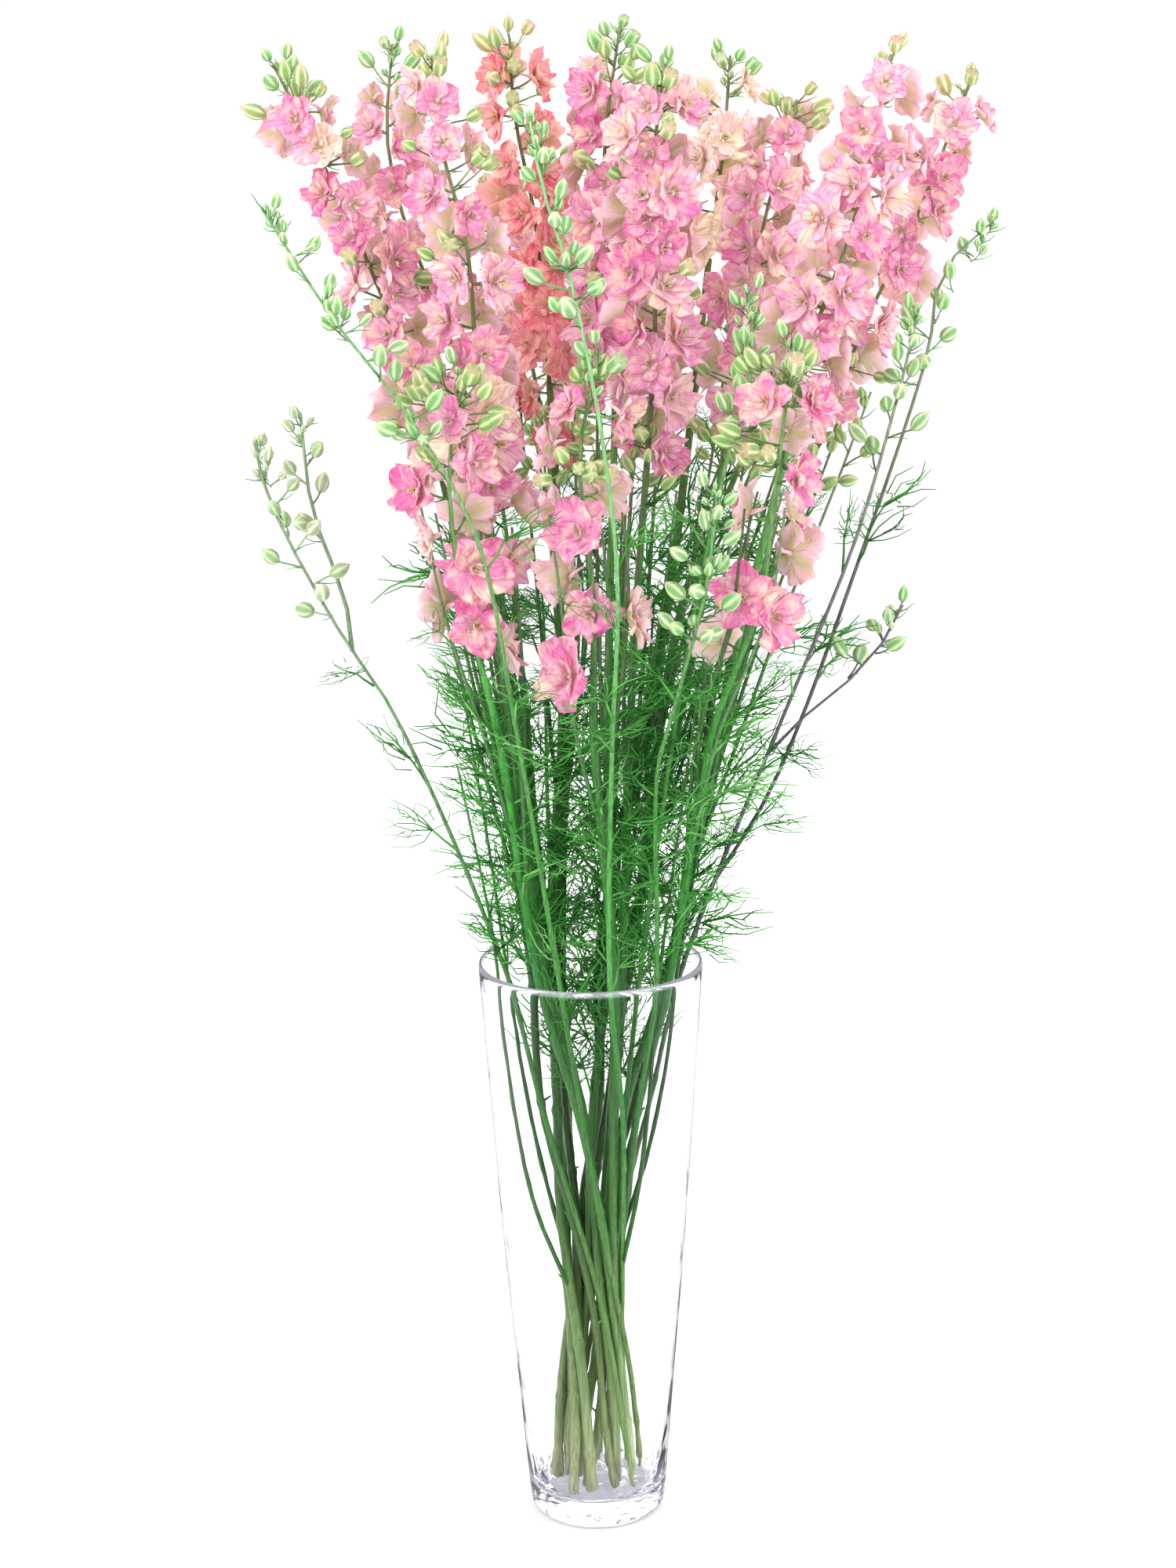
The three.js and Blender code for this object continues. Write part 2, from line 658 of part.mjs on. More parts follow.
stems.forEach((stem, index) => {
  stem.index = index;
  stem.course = curveThrough([...sheaf[index], ...stem.path]);
  stem.top = stem.path[stem.path.length - 1][2];
  stem.radiusAt = (z) => radiusAlong(stem, z);
});

function radiusAlong(stem, z) {
  const t = Math.max(0, (z - RIM_HEIGHT) / (stem.top - RIM_HEIGHT));
  return mix(stem.radius, stem.radius * (stem.flowering ? STEM_TAPER : THIN_TAPER), t);
}

function heightsBetween(from, to, step) {
  const count = Math.max(1, Math.round((to - from) / step));
  return Array.from({ length: count + 1 }, (_, k) => mix(from, to, k / count));
}

function lowHeights(to) {
  return [...SHEAF_HEIGHTS, ...heightsBetween(RIM_HEIGHT, to, LOW_STEP).slice(1)];
}

const openHeights = (stem) => heightsBetween(stem.open[0] + JOINT_GAP, stem.open[1], OPEN_STEP);
const tipHeights = (stem) => heightsBetween(stem.open[1] + JOINT_GAP, stem.top, TIP_STEP);

function addCourseRods(owner, course, radiusAt, heights) {
  heights.slice(1).forEach((z, k) => {
    addRod(owner, course(heights[k]), course(z), radiusAt(heights[k]));
  });
}

stems.forEach((stem) => {
  addCourseRods(stem.index, stem.course, stem.radiusAt, lowHeights(stem.top));
});

// A side branch leaves its stem at a height and ends free.
stems.filter((stem) => stem.branch).forEach((stem) => {
  const { from, path } = stem.branch;
  const start = stem.course(from);
  stem.branch.course = curveThrough([start, ...path]);
  stem.branch.top = path[path.length - 1][2];
  stem.branch.heights = heightsBetween(from, stem.branch.top, TIP_STEP);
  stem.branch.radiusAt = (z) => mix(...BRANCH_RADII, (z - from) / (stem.branch.top - from));
  addCourseRods(stem.index, stem.branch.course, stem.branch.radiusAt, stem.branch.heights);
});

function growFlorets(stem) {
  const [from, to] = stem.open;
  const course = facetedCourse(stem.course, openHeights(stem));
  const solids = [];
  for (let k = 0; k < stem.florets; k += 1) {
    const t = (k + 0.4) / stem.florets;
    const root = course(mix(from, to, t ** 0.85));
    const rnd = stream(STREAMS.floret, stem.index, k);
    const size = FLORET_RADIUS * mix(1.04, 0.74, t ** 1.5);
    const turn = stem.index * 1.9 + k * GOLDEN_ANGLE;
    const variant = (n) => {
      const swing = n > SWING_AFTER ? (rnd() - 0.5) * 3 : 0;
      return floretPlan(root, rnd, size * (n > SHRINK_AFTER ? 0.8 : 1), turn + swing);
    };
    const plan = firstClear(variant, floretSamples, root, FLORET_CLEARANCE, stem.index);
    if (plan) {
      addRod(stem.index, plan.root, plan.base, STALK_RADIUS);
      addSaucer(stem.index, plan.base, plan.axis, plan.radius);
      solids.push(floretSolid(plan));
    }
  }
  return solids;
}

function budSamples(plan) {
  const end = add(plan.base, plan.axis, plan.length);
  return [...samplesAlong(plan.root, plan.base), ...samplesAlong(plan.base, end)];
}

function growBuds(stem, course, from, to, count, kind, lift) {
  const solids = [];
  for (let k = 0; k < count; k += 1) {
    const t = (k + 0.3) / count;
    const root = course(mix(from, to, t));
    const rnd = stream(kind, stem.index, k);
    const size = mix(1.1, 0.62, t);
    const turn = stem.index + k * GOLDEN_ANGLE;
    const variant = () => budPlan(root, rnd, size, turn + (rnd() - 0.5), mix(lift, 1.15, t));
    const margin = BUD_RADIUS * size + BUD_CLEARANCE;
    const plan = firstClear(variant, budSamples, root, margin, stem.index);
    if (plan) {
      const end = add(plan.base, plan.axis, plan.length);
      addRod(stem.index, plan.root, plan.base, THIN_STALK_RADIUS);
      addRod(stem.index, plan.base, end, BUD_RADIUS * size);
      solids.push(budSolid(plan));
    }
  }
  return solids;
}

function growLeaves(stem, from, to, spacing, size) {
  const solids = [];
  const course = facetedCourse(stem.course, lowHeights(stem.flowering ? stem.open[0] : stem.top));
  const count = Math.floor((to - from) / spacing);
  for (let k = 0; k < count; k += 1) {
    const root = course(from + (k + 0.5) * spacing);
    const rnd = stream(STREAMS.leaf, stem.index, k);
    const outward = Math.atan2(root[1], root[0]);
    const variant = (n) => {
      const side = outward + (rnd() - 0.5) * 3.4;
      return leafPlan(root, rnd, side, size * mix(1, 0.5, n / TRIES));
    };
    const plan = firstClear(variant, leafSamples, root, LEAF_CLEARANCE, stem.index);
    if (plan) {
      addRod(stem.index, plan.root, plan.hub, THIN_STALK_RADIUS);
      plan.tips.forEach((tip) => addRod(stem.index, plan.hub, tip, FINGER_RADIUS));
      solids.push(leafSolid(plan));
    }
  }
  return solids;
}

addVase();

const grown = stems.map((stem) => ({ stem }));

grown.forEach((item) => {
  if (item.stem.flowering) item.florets = growFlorets(item.stem);
});

grown.forEach((item) => {
  const { stem } = item;
  if (stem.flowering) {
    const course = facetedCourse(stem.course, tipHeights(stem));
    const [from, to] = [stem.open[1] + 5, stem.top - 1];
    item.tip = growBuds(stem, course, from, to, stem.buds, STREAMS.tipBud, 0.5);
  } else {
    const [from, count] = stem.buds;
    const course = facetedCourse(stem.course, lowHeights(stem.top));
    item.buds = growBuds(stem, course, from, stem.top - 1, count, STREAMS.bud, 0.35);
    if (stem.branch) {
      const [start, number] = stem.branch.buds;
      const side = facetedCourse(stem.branch.course, stem.branch.heights);
      const to = stem.branch.top - 1;
      const more = growBuds(stem, side, start, to, number, STREAMS.branchBud, 0.35);
      item.buds = [...item.buds, ...more];
    }
  }
});

grown.forEach((item) => {
  const { stem } = item;
  if (stem.flowering) {
    const top = Math.min(LEAF_TOP, stem.open[0] - 6);
    item.leaves = growLeaves(stem, LEAF_BOTTOM, top, LEAF_SPACING, 1);
  } else {
    const top = stem.buds[0] - 10;
    item.leaves = growLeaves(stem, THIN_LEAF_BOTTOM, top, LEAF_SPACING * 2, THIN_LEAF_SIZE);
  }
});

grown.forEach(({ stem, florets, tip, buds, leaves }) => {
  if (stem.flowering) {
    const low = stemSolid(stem.course, stem.radiusAt, lowHeights(stem.open[0]), false);
    addFused(`stem_${stem.id}`, 'green', [low, ...leaves]);
    const openRadius = (z) => stem.radiusAt(z) * OPEN_STEM_SHARE;
    const middle = stemSolid(stem.course, openRadius, openHeights(stem), false);
    addFused(`flowers_${stem.id}`, stem.tint, [middle, ...florets]);
    const high = stemSolid(stem.course, stem.radiusAt, tipHeights(stem), true);
    addFused(`tip_${stem.id}`, 'budgreen', [high, ...tip]);
  } else {
    const parts = [stemSolid(stem.course, stem.radiusAt, lowHeights(stem.top), true)];
    if (stem.branch) {
      const { course, radiusAt, heights } = stem.branch;
      parts.push(stemSolid(course, radiusAt, heights, true));
    }
    addFused(`bud_stem_${stem.id}`, 'budgreen', [...parts, ...buds, ...leaves]);
  }
});

export default group;
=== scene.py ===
import math
from types import SimpleNamespace

import bmesh
import bpy
from mathutils import Matrix, Vector, kdtree, noise


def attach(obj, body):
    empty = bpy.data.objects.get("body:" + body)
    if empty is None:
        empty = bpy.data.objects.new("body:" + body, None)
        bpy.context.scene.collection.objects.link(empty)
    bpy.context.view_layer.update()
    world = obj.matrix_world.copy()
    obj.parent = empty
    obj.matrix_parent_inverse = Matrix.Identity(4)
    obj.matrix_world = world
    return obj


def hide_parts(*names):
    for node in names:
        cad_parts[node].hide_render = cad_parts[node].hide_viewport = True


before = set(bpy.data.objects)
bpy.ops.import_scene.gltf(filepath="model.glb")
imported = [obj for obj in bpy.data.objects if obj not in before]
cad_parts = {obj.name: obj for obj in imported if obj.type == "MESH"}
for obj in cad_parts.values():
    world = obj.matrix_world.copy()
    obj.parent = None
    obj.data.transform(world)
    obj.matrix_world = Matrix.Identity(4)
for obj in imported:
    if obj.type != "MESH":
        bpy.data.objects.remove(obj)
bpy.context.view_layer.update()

# ------------------------------------------------------------------ the studio
# A wide white floor under an even white sky, with large soft lamps in front and behind, so
# that the petals glow. Reflections show a darker room, so the glass shows only its edges and
# its rim catches the light from above. None of it belongs to the object. The petals and the
# glass also carry a painted glow of their own, in their finishes below.

FLOOR_RADIUS = 14
FLOOR_WHITE = 0.95
FLOOR_IN_REFLECTIONS = 0.3
SKY_STRENGTH = 1.12
SKY_IN_REFLECTIONS = (0.15, 1.3)
OVERHEAD = (0.45, 0.8)


def feed(tree, socket, value):
    """Links a socket to another one, or sets it to a plain value."""
    if isinstance(value, bpy.types.NodeSocket):
        tree.links.new(value, socket)
    else:
        socket.default_value = value


def add_node(tree, kind, inputs=(), **settings):
    """A node with its settings, and with its inputs fed by name or number."""
    node = tree.nodes.new("ShaderNode" + kind)
    for setting, value in settings.items():
        setattr(node, setting, value)
    for socket, value in dict(inputs).items():
        feed(tree, node.inputs[socket], value)
    return node


def paint(tree, **sockets):
    """Feeds the shader of a finish by socket name, with _ for each space."""
    for name, value in sockets.items():
        feed(tree, tree.nodes["Principled BSDF"].inputs[name.replace("_", " ")], value)


def new_finish(name, **settings):
    """A material with one Principled shader and its plain settings, and its nodes."""
    finish = bpy.data.materials.new(name)
    finish.use_nodes = True
    paint(finish.node_tree, **settings)
    return finish, finish.node_tree


def parts_of(tree, vector):
    """The X, Y and Z of a vector, by name."""
    return add_node(tree, "SeparateXYZ", {"Vector": vector}).outputs


def add_map(tree, value, low, high, new_low=0.0, new_high=1.0):
    """A value stretched from one range to another, held at both ends."""
    return add_node(tree, "MapRange", {"Value": value, "From Min": low, "From Max": high,
                                       "To Min": new_low, "To Max": new_high}).outputs["Result"]


def seen_mirrored(tree):
    """1 where a mirroring surface looks, 0 for the eye, for glass and for soft light."""
    ray = add_node(tree, "LightPath").outputs
    return add_node(tree, "Math", {0: ray["Is Glossy Ray"], 1: ray["Is Transmission Ray"]},
                    operation="SUBTRACT", use_clamp=True).outputs["Value"]


def as_mesh(bm, name):
    """A modelled shape as a mesh of its own."""
    mesh = bpy.data.meshes.new(name)
    bm.to_mesh(mesh)
    bm.free()
    return mesh


def add_object(name, data):
    """A new object in the scene, which holds a mesh, a lamp or a camera."""
    thing = bpy.data.objects.new(name, data)
    bpy.context.scene.collection.objects.link(thing)
    return thing


def place_lamp(name, spot, target, size, power):
    """A square soft lamp at a spot, turned to face the target."""
    lamp = add_object(name, bpy.data.lights.new(name, "AREA"))
    lamp.data.shape = "SQUARE"
    lamp.data.size = size
    lamp.data.energy = power
    lamp.location = spot
    lamp.rotation_euler = (Vector(target) - Vector(spot)).to_track_quat("-Z", "Y").to_euler()
    lamp.visible_glossy = False


floor_paint, tree = new_finish("white_floor", Roughness=1.0, Specular_IOR_Level=0.0)
paint(tree, Base_Color=add_map(tree, seen_mirrored(tree), 0, 1, FLOOR_WHITE, FLOOR_IN_REFLECTIONS))
bm = bmesh.new()
bmesh.ops.create_circle(bm, cap_ends=True, segments=64, radius=FLOOR_RADIUS)
floor = add_object("floor", as_mesh(bm, "floor"))
floor.data.materials.append(floor_paint)

sky = bpy.data.worlds.new("white_sky")
sky.use_nodes = True
tree = sky.node_tree
background = tree.nodes["Background"]
background.inputs["Color"].default_value = (1, 1, 1, 1)
rise = parts_of(tree, add_node(tree, "TexCoord").outputs["Generated"])["Z"]
overhead = add_map(tree, rise, *OVERHEAD, *SKY_IN_REFLECTIONS)
feed(tree, background.inputs["Strength"],
     add_map(tree, seen_mirrored(tree), 0, 1, SKY_STRENGTH, overhead))
bpy.context.scene.world = sky
bpy.context.scene.view_settings.view_transform = "Standard"

place_lamp("front_lamp", (-1.3, -2.0, 1.9), (0, 0, 0.6), 1.2, 34)
place_lamp("right_lamp", (2.0, -0.9, 1.3), (0, 0, 0.6), 1.0, 14)
place_lamp("back_lamp", (0.4, 2.2, 1.8), (0, 0, 0.7), 1.8, 40)

LENS = 60.3
CAMERA_BACK = 1.566
CAMERA_HEIGHT = 0.847
LOOK_DOWN = math.radians(13.2)
CAMERA_ROLL = math.radians(-0.8)

camera = add_object("camera", bpy.data.cameras.new("camera"))
camera.data.lens = LENS
camera.data.sensor_width = 36
camera.matrix_world = (Matrix.Translation((0, -CAMERA_BACK, CAMERA_HEIGHT))
                       @ Matrix.Rotation(math.pi / 2 - LOOK_DOWN, 4, "X")
                       @ Matrix.Rotation(CAMERA_ROLL, 4, "Z"))
bpy.context.scene.camera = camera

# -------------------------------------------------------------------- the vase
# One tapered vase of clear glass, blown and fire-polished: a thick bottom with slow waves in
# it, a thin wall and a rounded rim. It stands on the floor and everything else stands in it.

# (radius, height) in millimetres, from the middle of the foot up the outside and down inside.
VASE_PROFILE = [
    (0, 1.4), (20, 1.2), (34, 0.4), (38.5, 0), (41.5, 1.2), (43.2, 4.2), (43.9, 9), (46.6, 42),
    (50.9, 98), (57.3, 170), (63.9, 272), (69.4, 357), (69.9, 364), (69.8, 366.8), (69.0, 367.9),
    (68.2, 368), (67.5, 367.2), (67.1, 364.5), (61.9, 275), (55.0, 170), (48.6, 98), (44.2, 50),
    (42.0, 32), (40.6, 23.5), (38.2, 18.4), (35.2, 16.5), (24, 16.2), (0, 16.2),
]
VASE_SEGMENTS = 64


def colour(code):
    """A '#rrggbb' paint colour as the linear colour that shaders take."""
    parts = [int(code[k:k + 2], 16) / 255 for k in (1, 3, 5)]
    return [c / 12.92 if c <= 0.04045 else ((c + 0.055) / 1.055) ** 2.4 for c in parts] + [1]


def add_ramp(tree, value, stops):
    """The colour for a value along a ramp of (place, '#rrggbb') stops."""
    ramp = add_node(tree, "ValToRGB", {"Fac": value})
    while len(ramp.color_ramp.elements) < len(stops):
        ramp.color_ramp.elements.new(0.5)
    for element, (place, code) in zip(ramp.color_ramp.elements, stops):
        element.position = place
        element.color = colour(code)
    return ramp.outputs["Color"]


def object_place(tree):
    """The place on the piece, in metres."""
    return add_node(tree, "TexCoord").outputs["Object"]


def add_noise(tree, coordinates, scale, detail=2.0):
    """A noise pattern over the given coordinates, stretched by a scale for each axis."""
    stretched = add_node(tree, "Mapping", {"Vector": coordinates, "Scale": scale}).outputs["Vector"]
    return add_node(tree, "TexNoise", {"Vector": stretched, "Scale": 1, "Detail": detail}).outputs["Fac"]


def add_mix(tree, share, first, second, blend="MIX"):
    """Two colours mixed by a share; each may be a socket or a fixed colour."""
    return add_node(tree, "Mix", {0: share, 6: first, 7: second}, data_type="RGBA",
                    blend_type=blend).outputs[2]


def add_bump(tree, height, strength, distance):
    """A bump normal from a height; the strength may be a socket."""
    return add_node(tree, "Bump", {"Height": height, "Strength": strength,
                                   "Distance": distance}).outputs["Normal"]


def add_modifier(piece, kind, **settings):
    modifier = piece.modifiers.new(kind.lower(), kind)
    for setting, value in settings.items():
        setattr(modifier, setting, value)


def finish_piece(bm, name, finishes, node, slot):
    """Turns a shape in millimetres into a piece in metres, for a node if one is named."""
    bmesh.ops.scale(bm, vec=(0.001,) * 3, verts=bm.verts)
    bmesh.ops.recalc_face_normals(bm, faces=bm.faces)
    used = sorted({face.material_index for face in bm.faces})
    for face in bm.faces:
        face.material_index = used.index(face.material_index)
        face.smooth = True
    piece = add_object(name, as_mesh(bm, name))
    for k in used:
        piece.data.materials.append(finishes[k])
    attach(piece, "root")
    if node:
        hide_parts(node)
    return piece


clear_glass, tree = new_finish("clear_glass", Roughness=0.0, IOR=1.5, Transmission_Weight=1.0,
                               Specular_Tint=(0.02, 0.02, 0.02, 1), Emission_Strength=1.0)
# Grey-violet towards the grazing edges: partly the tint of the longer path through the glass, partly
# painted shade that draws its dark edge lines.
facing = add_node(tree, "LayerWeight", {"Blend": 0.35}).outputs["Facing"]
wall = add_ramp(tree, facing, [(0.0, "#ffffff"), (0.5, "#fdfdfe"), (0.66, "#ebeaf4"),
                               (0.82, "#cfcde0"), (1.0, "#b3b0ca")])
place = object_place(tree)
height = parts_of(tree, place)["Z"]
thick = add_map(tree, height, 0.034, 0.012)
# The lip is whiter than the rest of the glass: a painted highlight round the rim.
lip = add_map(tree, height, 0.3635, 0.3655)
body = add_mix(tree, thick, wall, colour("#f4f3f8"))
# Painted glow: the thick foot gives off a faint light of its own and the lip a stronger one.
painted_foot_glow = add_mix(tree, thick, (0, 0, 0, 1), (0.055, 0.055, 0.07, 1))
wavy = add_map(tree, height, 0.06, 0.012, 0.04, 0.7)
paint(tree, Base_Color=add_mix(tree, lip, body, colour("#fbfbfd")),
      Emission_Color=add_mix(tree, lip, painted_foot_glow, (0.2, 0.2, 0.23, 1)),
      Normal=add_bump(tree, add_noise(tree, place, (70, 70, 45), 1.0), wavy, 0.004))

bm = bmesh.new()
points = [bm.verts.new((r, 0, z)) for r, z in VASE_PROFILE]
edges = [bm.edges.new(pair) for pair in zip(points, points[1:])]
bmesh.ops.spin(bm, geom=points + edges, cent=(0, 0, 0), axis=(0, 0, 1), angle=math.tau,
               steps=VASE_SEGMENTS, use_merge=True)
bmesh.ops.remove_doubles(bm, verts=bm.verts, dist=0.01)
vase = finish_piece(bm, "vase_glass", [clear_glass], "vase", "glass")
add_modifier(vase, "SUBSURF", levels=1, render_levels=1)

# ------------------------------------------------- the flowering stems and leaves
# Fifteen solid, slightly ribbed green stems, thickened at each leaf joint, that cross at a
# waist in the vase and lean apart above it. Leaves grow from the joints as hands of threads.

# Millimetres. The path of each stem above the rim, the heights between which its florets
# open, how many there are, the buds above them and the tint of its petals.
FLOWERING = [
    ("01", [(-61, 12, 530), (-92, 22, 692), (-133, 28, 810), (-178, 25, 908)],
     (665, 880), 10, 5, "rose"),
    ("02", [(-50, 55, 560), (-78, 92, 727), (-111, 108, 822), (-119, 112, 868),
            (-114, 112, 923)], (755, 885), 6, 6, "rose"),
    ("03", [(-50, -28, 560), (-60, -40, 690), (-64, -42, 800), (-80, -40, 870),
            (-81, -40, 910)], (600, 890), 11, 3, "rose"),
    ("04", [(-14, 62, 560), (-20, 100, 700), (-28, 115, 815), (-40, 120, 880),
            (-42, 120, 926)], (715, 906), 9, 3, "coral"),
    ("05", [(14, 22, 560), (20, 36, 739), (15, 40, 853), (25, 40, 928)],
     (725, 898), 10, 4, "rose"),
    ("06", [(28, -22, 560), (42, -42, 756), (40, -50, 831), (48, -52, 903)],
     (715, 884), 10, 4, "rose"),
    ("07", [(48, 60, 560), (68, 98, 690), (82, 120, 800), (90, 126, 855), (95, 130, 914)],
     (790, 890), 5, 5, "blush"),
    ("08", [(66, 22, 560), (90, 42, 700), (109, 48, 807), (121, 48, 852), (130, 48, 885)],
     (735, 867), 7, 3, "rose"),
    ("09", [(88, -22, 560), (112, -34, 660), (134, -38, 755), (155, -38, 812),
            (176, -36, 907)], (735, 888), 8, 3, "rose"),
    ("10", [(100, 30, 560), (140, 48, 670), (170, 60, 746), (203, 66, 812),
            (235, 68, 893)], (740, 874), 7, 3, "rose"),
    ("11", [(-52, -52, 520), (-68, -74, 600), (-76, -86, 670), (-68, -92, 740)],
     (560, 717), 7, 3, "rose"),
    ("12", [(72, -60, 520), (98, -86, 600), (108, -102, 680), (116, -106, 752)],
     (560, 729), 7, 3, "rose"),
    ("13", [(4, -60, 520), (4, -80, 610), (-2, -90, 690), (10, -94, 748)],
     (545, 725), 7, 3, "rose"),
    ("14", [(-12, 110, 560), (-25, 150, 680), (-42, 172, 770), (-52, 178, 836)],
     (700, 813), 5, 3, "rose"),
    ("15", [(60, 105, 560), (110, 140, 680), (135, 152, 760), (150, 156, 826)],
     (700, 803), 5, 3, "rose"),
]

# Thin stems with closed buds: the path, where the buds begin and how many there are, then
# for a side branch the height it leaves from, its path and its buds.
BUDDING = [
    ("01", [(-112, -40, 529), (-146, -42, 586), (-182, -44, 660), (-190, -44, 696)], (590, 11),
     (572, [(-142, -30, 600), (-160, -24, 654), (-165, -22, 710)], (630, 7))),
    ("02", [(-42, -88, 540), (-60, -122, 650), (-97, -122, 719), (-134, -116, 767),
            (-172, -112, 828)], (700, 12), None),
    ("03", [(14, -88, 520), (18, -125, 620), (10, -138, 706), (-6, -142, 791),
            (-20, -145, 839), (-26, -145, 874)], (760, 11), None),
    ("04", [(58, -42, 560), (82, -58, 682), (96, -64, 734), (94, -68, 780)], (695, 9), None),
    ("05", [(40, -75, 500), (50, -100, 548), (67, -124, 619), (73, -134, 676)],
     (596, 10), None),
    ("06", [(120, -18, 529), (158, -34, 630), (182, -40, 717), (193, -42, 766)], (670, 10),
     (500, [(139, -16, 531), (168, -22, 556), (188, -26, 592)], (545, 6))),
    ("07", [(114, 8, 476), (169, 10, 624), (205, 8, 737), (213, 6, 785), (244, 4, 816)],
     (716, 11), None),
]

# The bundle in the vase: its waist, how fast it spreads from there, and how far each stem
# sways and keeps from its neighbours.
FLOOR_HEIGHT = 16.5
RIM_HEIGHT = 368
WAIST_HEIGHT = 150
WAIST_RADIUS = 18.5
SPREAD_ABOVE = 0.26
SPREAD_BELOW = 0.18
SPREAD_BLEND = 50
LAYOUT_HEIGHT = 700
SHEAF_HEIGHTS = [FLOOR_HEIGHT, 58, 104, WAIST_HEIGHT, 200, 275, RIM_HEIGHT]
RUN_ABOVE_RIM = 62
WOBBLE = 0.15
STEM_RADIUS = 2.9
THIN_RADIUS = 1.6
STEM_CLEARANCE = 1.3

# The leaf joints, then the leaves of the solids, then those that are added between them.
JOINT_SPACING = 74
JOINTS_MOST = 12
LOWEST_JOINT = (40, 90)
STRIPPED_BELOW = 330
LEAFY_FROM = 350
LEAF_FINGERS = 6
LEAF_LENGTH = 48
LEAF_SPACING = 46
LEAF_TOP = 665
TRIES = 14
EXTRA_BELOW = 84
EXTRA_TOP = 655
EXTRA_SPACING = 0.34
THINNER_ABOVE = 370
THINNEST_ABOVE = 545
THINNED_SHARE = 0.62
CLEAR_BELOW = 450
CLEARED_SHARE = 0.6

# The inner radius of the glass at two heights, and how far leaves keep from it.
GLASS_LOW = (47, 98)
GLASS_HIGH = (65.5, 366)
LEAF_CLEARANCE = 2


def mix(a, b, t):
    return a + (b - a) * t


def clamp(share):
    return max(0, min(1, share))


def stream(kind, stem, item):
    """A repeatable run of numbers from 0 to 1, one for each leaf, floret or bud of a kind."""
    state = (kind * 7919 + stem * 104729 + item * 1299709 + 12345) % 4294967296

    def draw():
        nonlocal state
        state = (state * 1664525 + 1013904223) % 4294967296
        return state / 4294967296

    draw()
    draw()
    return draw


def direction(azimuth, rise):
    flat = math.cos(rise)
    return Vector((math.cos(azimuth) * flat, math.sin(azimuth) * flat, math.sin(rise)))


def cross_axes(axis, turn=0.0):
    """Two axes square to a direction, turned about it."""
    upright = abs(axis.z) > 0.95
    level = Vector((0, 1, 0) if upright else (0, 0, 1)).cross(axis).normalized()
    side = level * math.cos(turn) + axis.cross(level) * math.sin(turn)
    return side, axis.cross(side)


def sheaf_turn(z):
    """How the round bundle of stems is widened and turned at a height, as one complex factor."""
    rise = z - WAIST_HEIGHT
    below = mix(SPREAD_BELOW, SPREAD_ABOVE, math.exp(min(0, rise) / SPREAD_BLEND))
    return complex(WAIST_RADIUS, -rise * (SPREAD_ABOVE if rise > 0 else below))


def push_apart(places, z, rounds):
    """Moves stems that would touch at this height away from each other, inside the bundle."""
    scale = abs(sheaf_turn(z))
    for _ in range(rounds):
        for i, stem in enumerate(stems):
            for j in range(i + 1, len(stems)):
                gap = places[j] - places[i]
                wanted = (stem.radius + stems[j].radius + STEM_CLEARANCE) / scale
                if abs(gap) < wanted:
                    push = gap * (wanted / abs(gap) - 1) / 2
                    places[i] -= push
                    places[j] += push
            places[i] *= min(1, 1 / abs(places[i]))


def layout_place(path):
    """Where a stem's path passes the layout height, as its place in the bundle."""
    k = 1
    while k < len(path) - 1 and path[k][2] < LAYOUT_HEIGHT:
        k += 1
    a, b = Vector(path[k - 1]), Vector(path[k])
    spot = a.lerp(b, (LAYOUT_HEIGHT - a.z) / (b.z - a.z))
    place = complex(spot.x, spot.y) / sheaf_turn(LAYOUT_HEIGHT)
    return place * min(1, 1 / abs(place))


def curve_through(knots):
    """The axis of a stem as a smooth function of height, through its knots."""
    last = len(knots) - 1
    slopes = []
    for k in range(last + 1):
        a, b = knots[max(k - 1, 0)], knots[min(k + 1, last)]
        slopes.append([(b[c] - a[c]) / (b[2] - a[2]) for c in (0, 1)])

    def course(z):
        k = 1
        while k < last and knots[k][2] < z:
            k += 1
        a, b = knots[k - 1], knots[k]
        h = b[2] - a[2]
        t = (z - a[2]) / h
        w = (2 * t**3 - 3 * t**2 + 1, (t**3 - 2 * t**2 + t) * h,
             3 * t**2 - 2 * t**3, (t**3 - t**2) * h)
        x, y = [a[c] * w[0] + slopes[k - 1][c] * w[1] + b[c] * w[2] + slopes[k][c] * w[3]
                for c in (0, 1)]
        return Vector((x, y, z))

    return course


def straight_runs(course, heights):
    """The same course as straight runs between heights, where leaves and stalks are rooted."""
    def at(z):
        k = 1
        while k < len(heights) - 1 and heights[k] < z:
            k += 1
        a, b = course(heights[k - 1]), course(heights[k])
        return a.lerp(b, (z - heights[k - 1]) / (heights[k] - heights[k - 1]))

    return at


def heights_between(start, end, step):
    count = max(1, math.floor((end - start) / step + 0.5))
    return [mix(start, end, k / count) for k in range(count + 1)]


def low_heights(end):
    return SHEAF_HEIGHTS + heights_between(RIM_HEIGHT, end, RUN_ABOVE_RIM)[1:]


flowering = [SimpleNamespace(id=row[0], path=row[1], open=row[2], florets=row[3], buds=row[4],
                             tint=row[5], radius=STEM_RADIUS, slimmed=0.42, green_to=row[2][0])
             for row in FLOWERING]
budding = [SimpleNamespace(id=row[0], path=row[1], buds=row[2], branch=row[3],
                           radius=THIN_RADIUS, slimmed=0.55, green_to=row[1][-1][2])
           for row in BUDDING]
stems = flowering + budding

bundle = [layout_place(stem.path) for stem in stems]
push_apart(bundle, WAIST_HEIGHT, 400)
knots = [[] for _ in stems]
for z in SHEAF_HEIGHTS:
    level = []
    for i, stem in enumerate(stems):
        sway = WOBBLE * stem.radius / STEM_RADIUS
        level.append(bundle[i] + sway * complex(math.sin(z / 62 + i * 2.4), math.sin(z / 55 + i * 1.7)))
    push_apart(level, z, 200)
    for i, spot in enumerate(level):
        spot *= sheaf_turn(z)
        knots[i].append((spot.real, spot.imag, z))

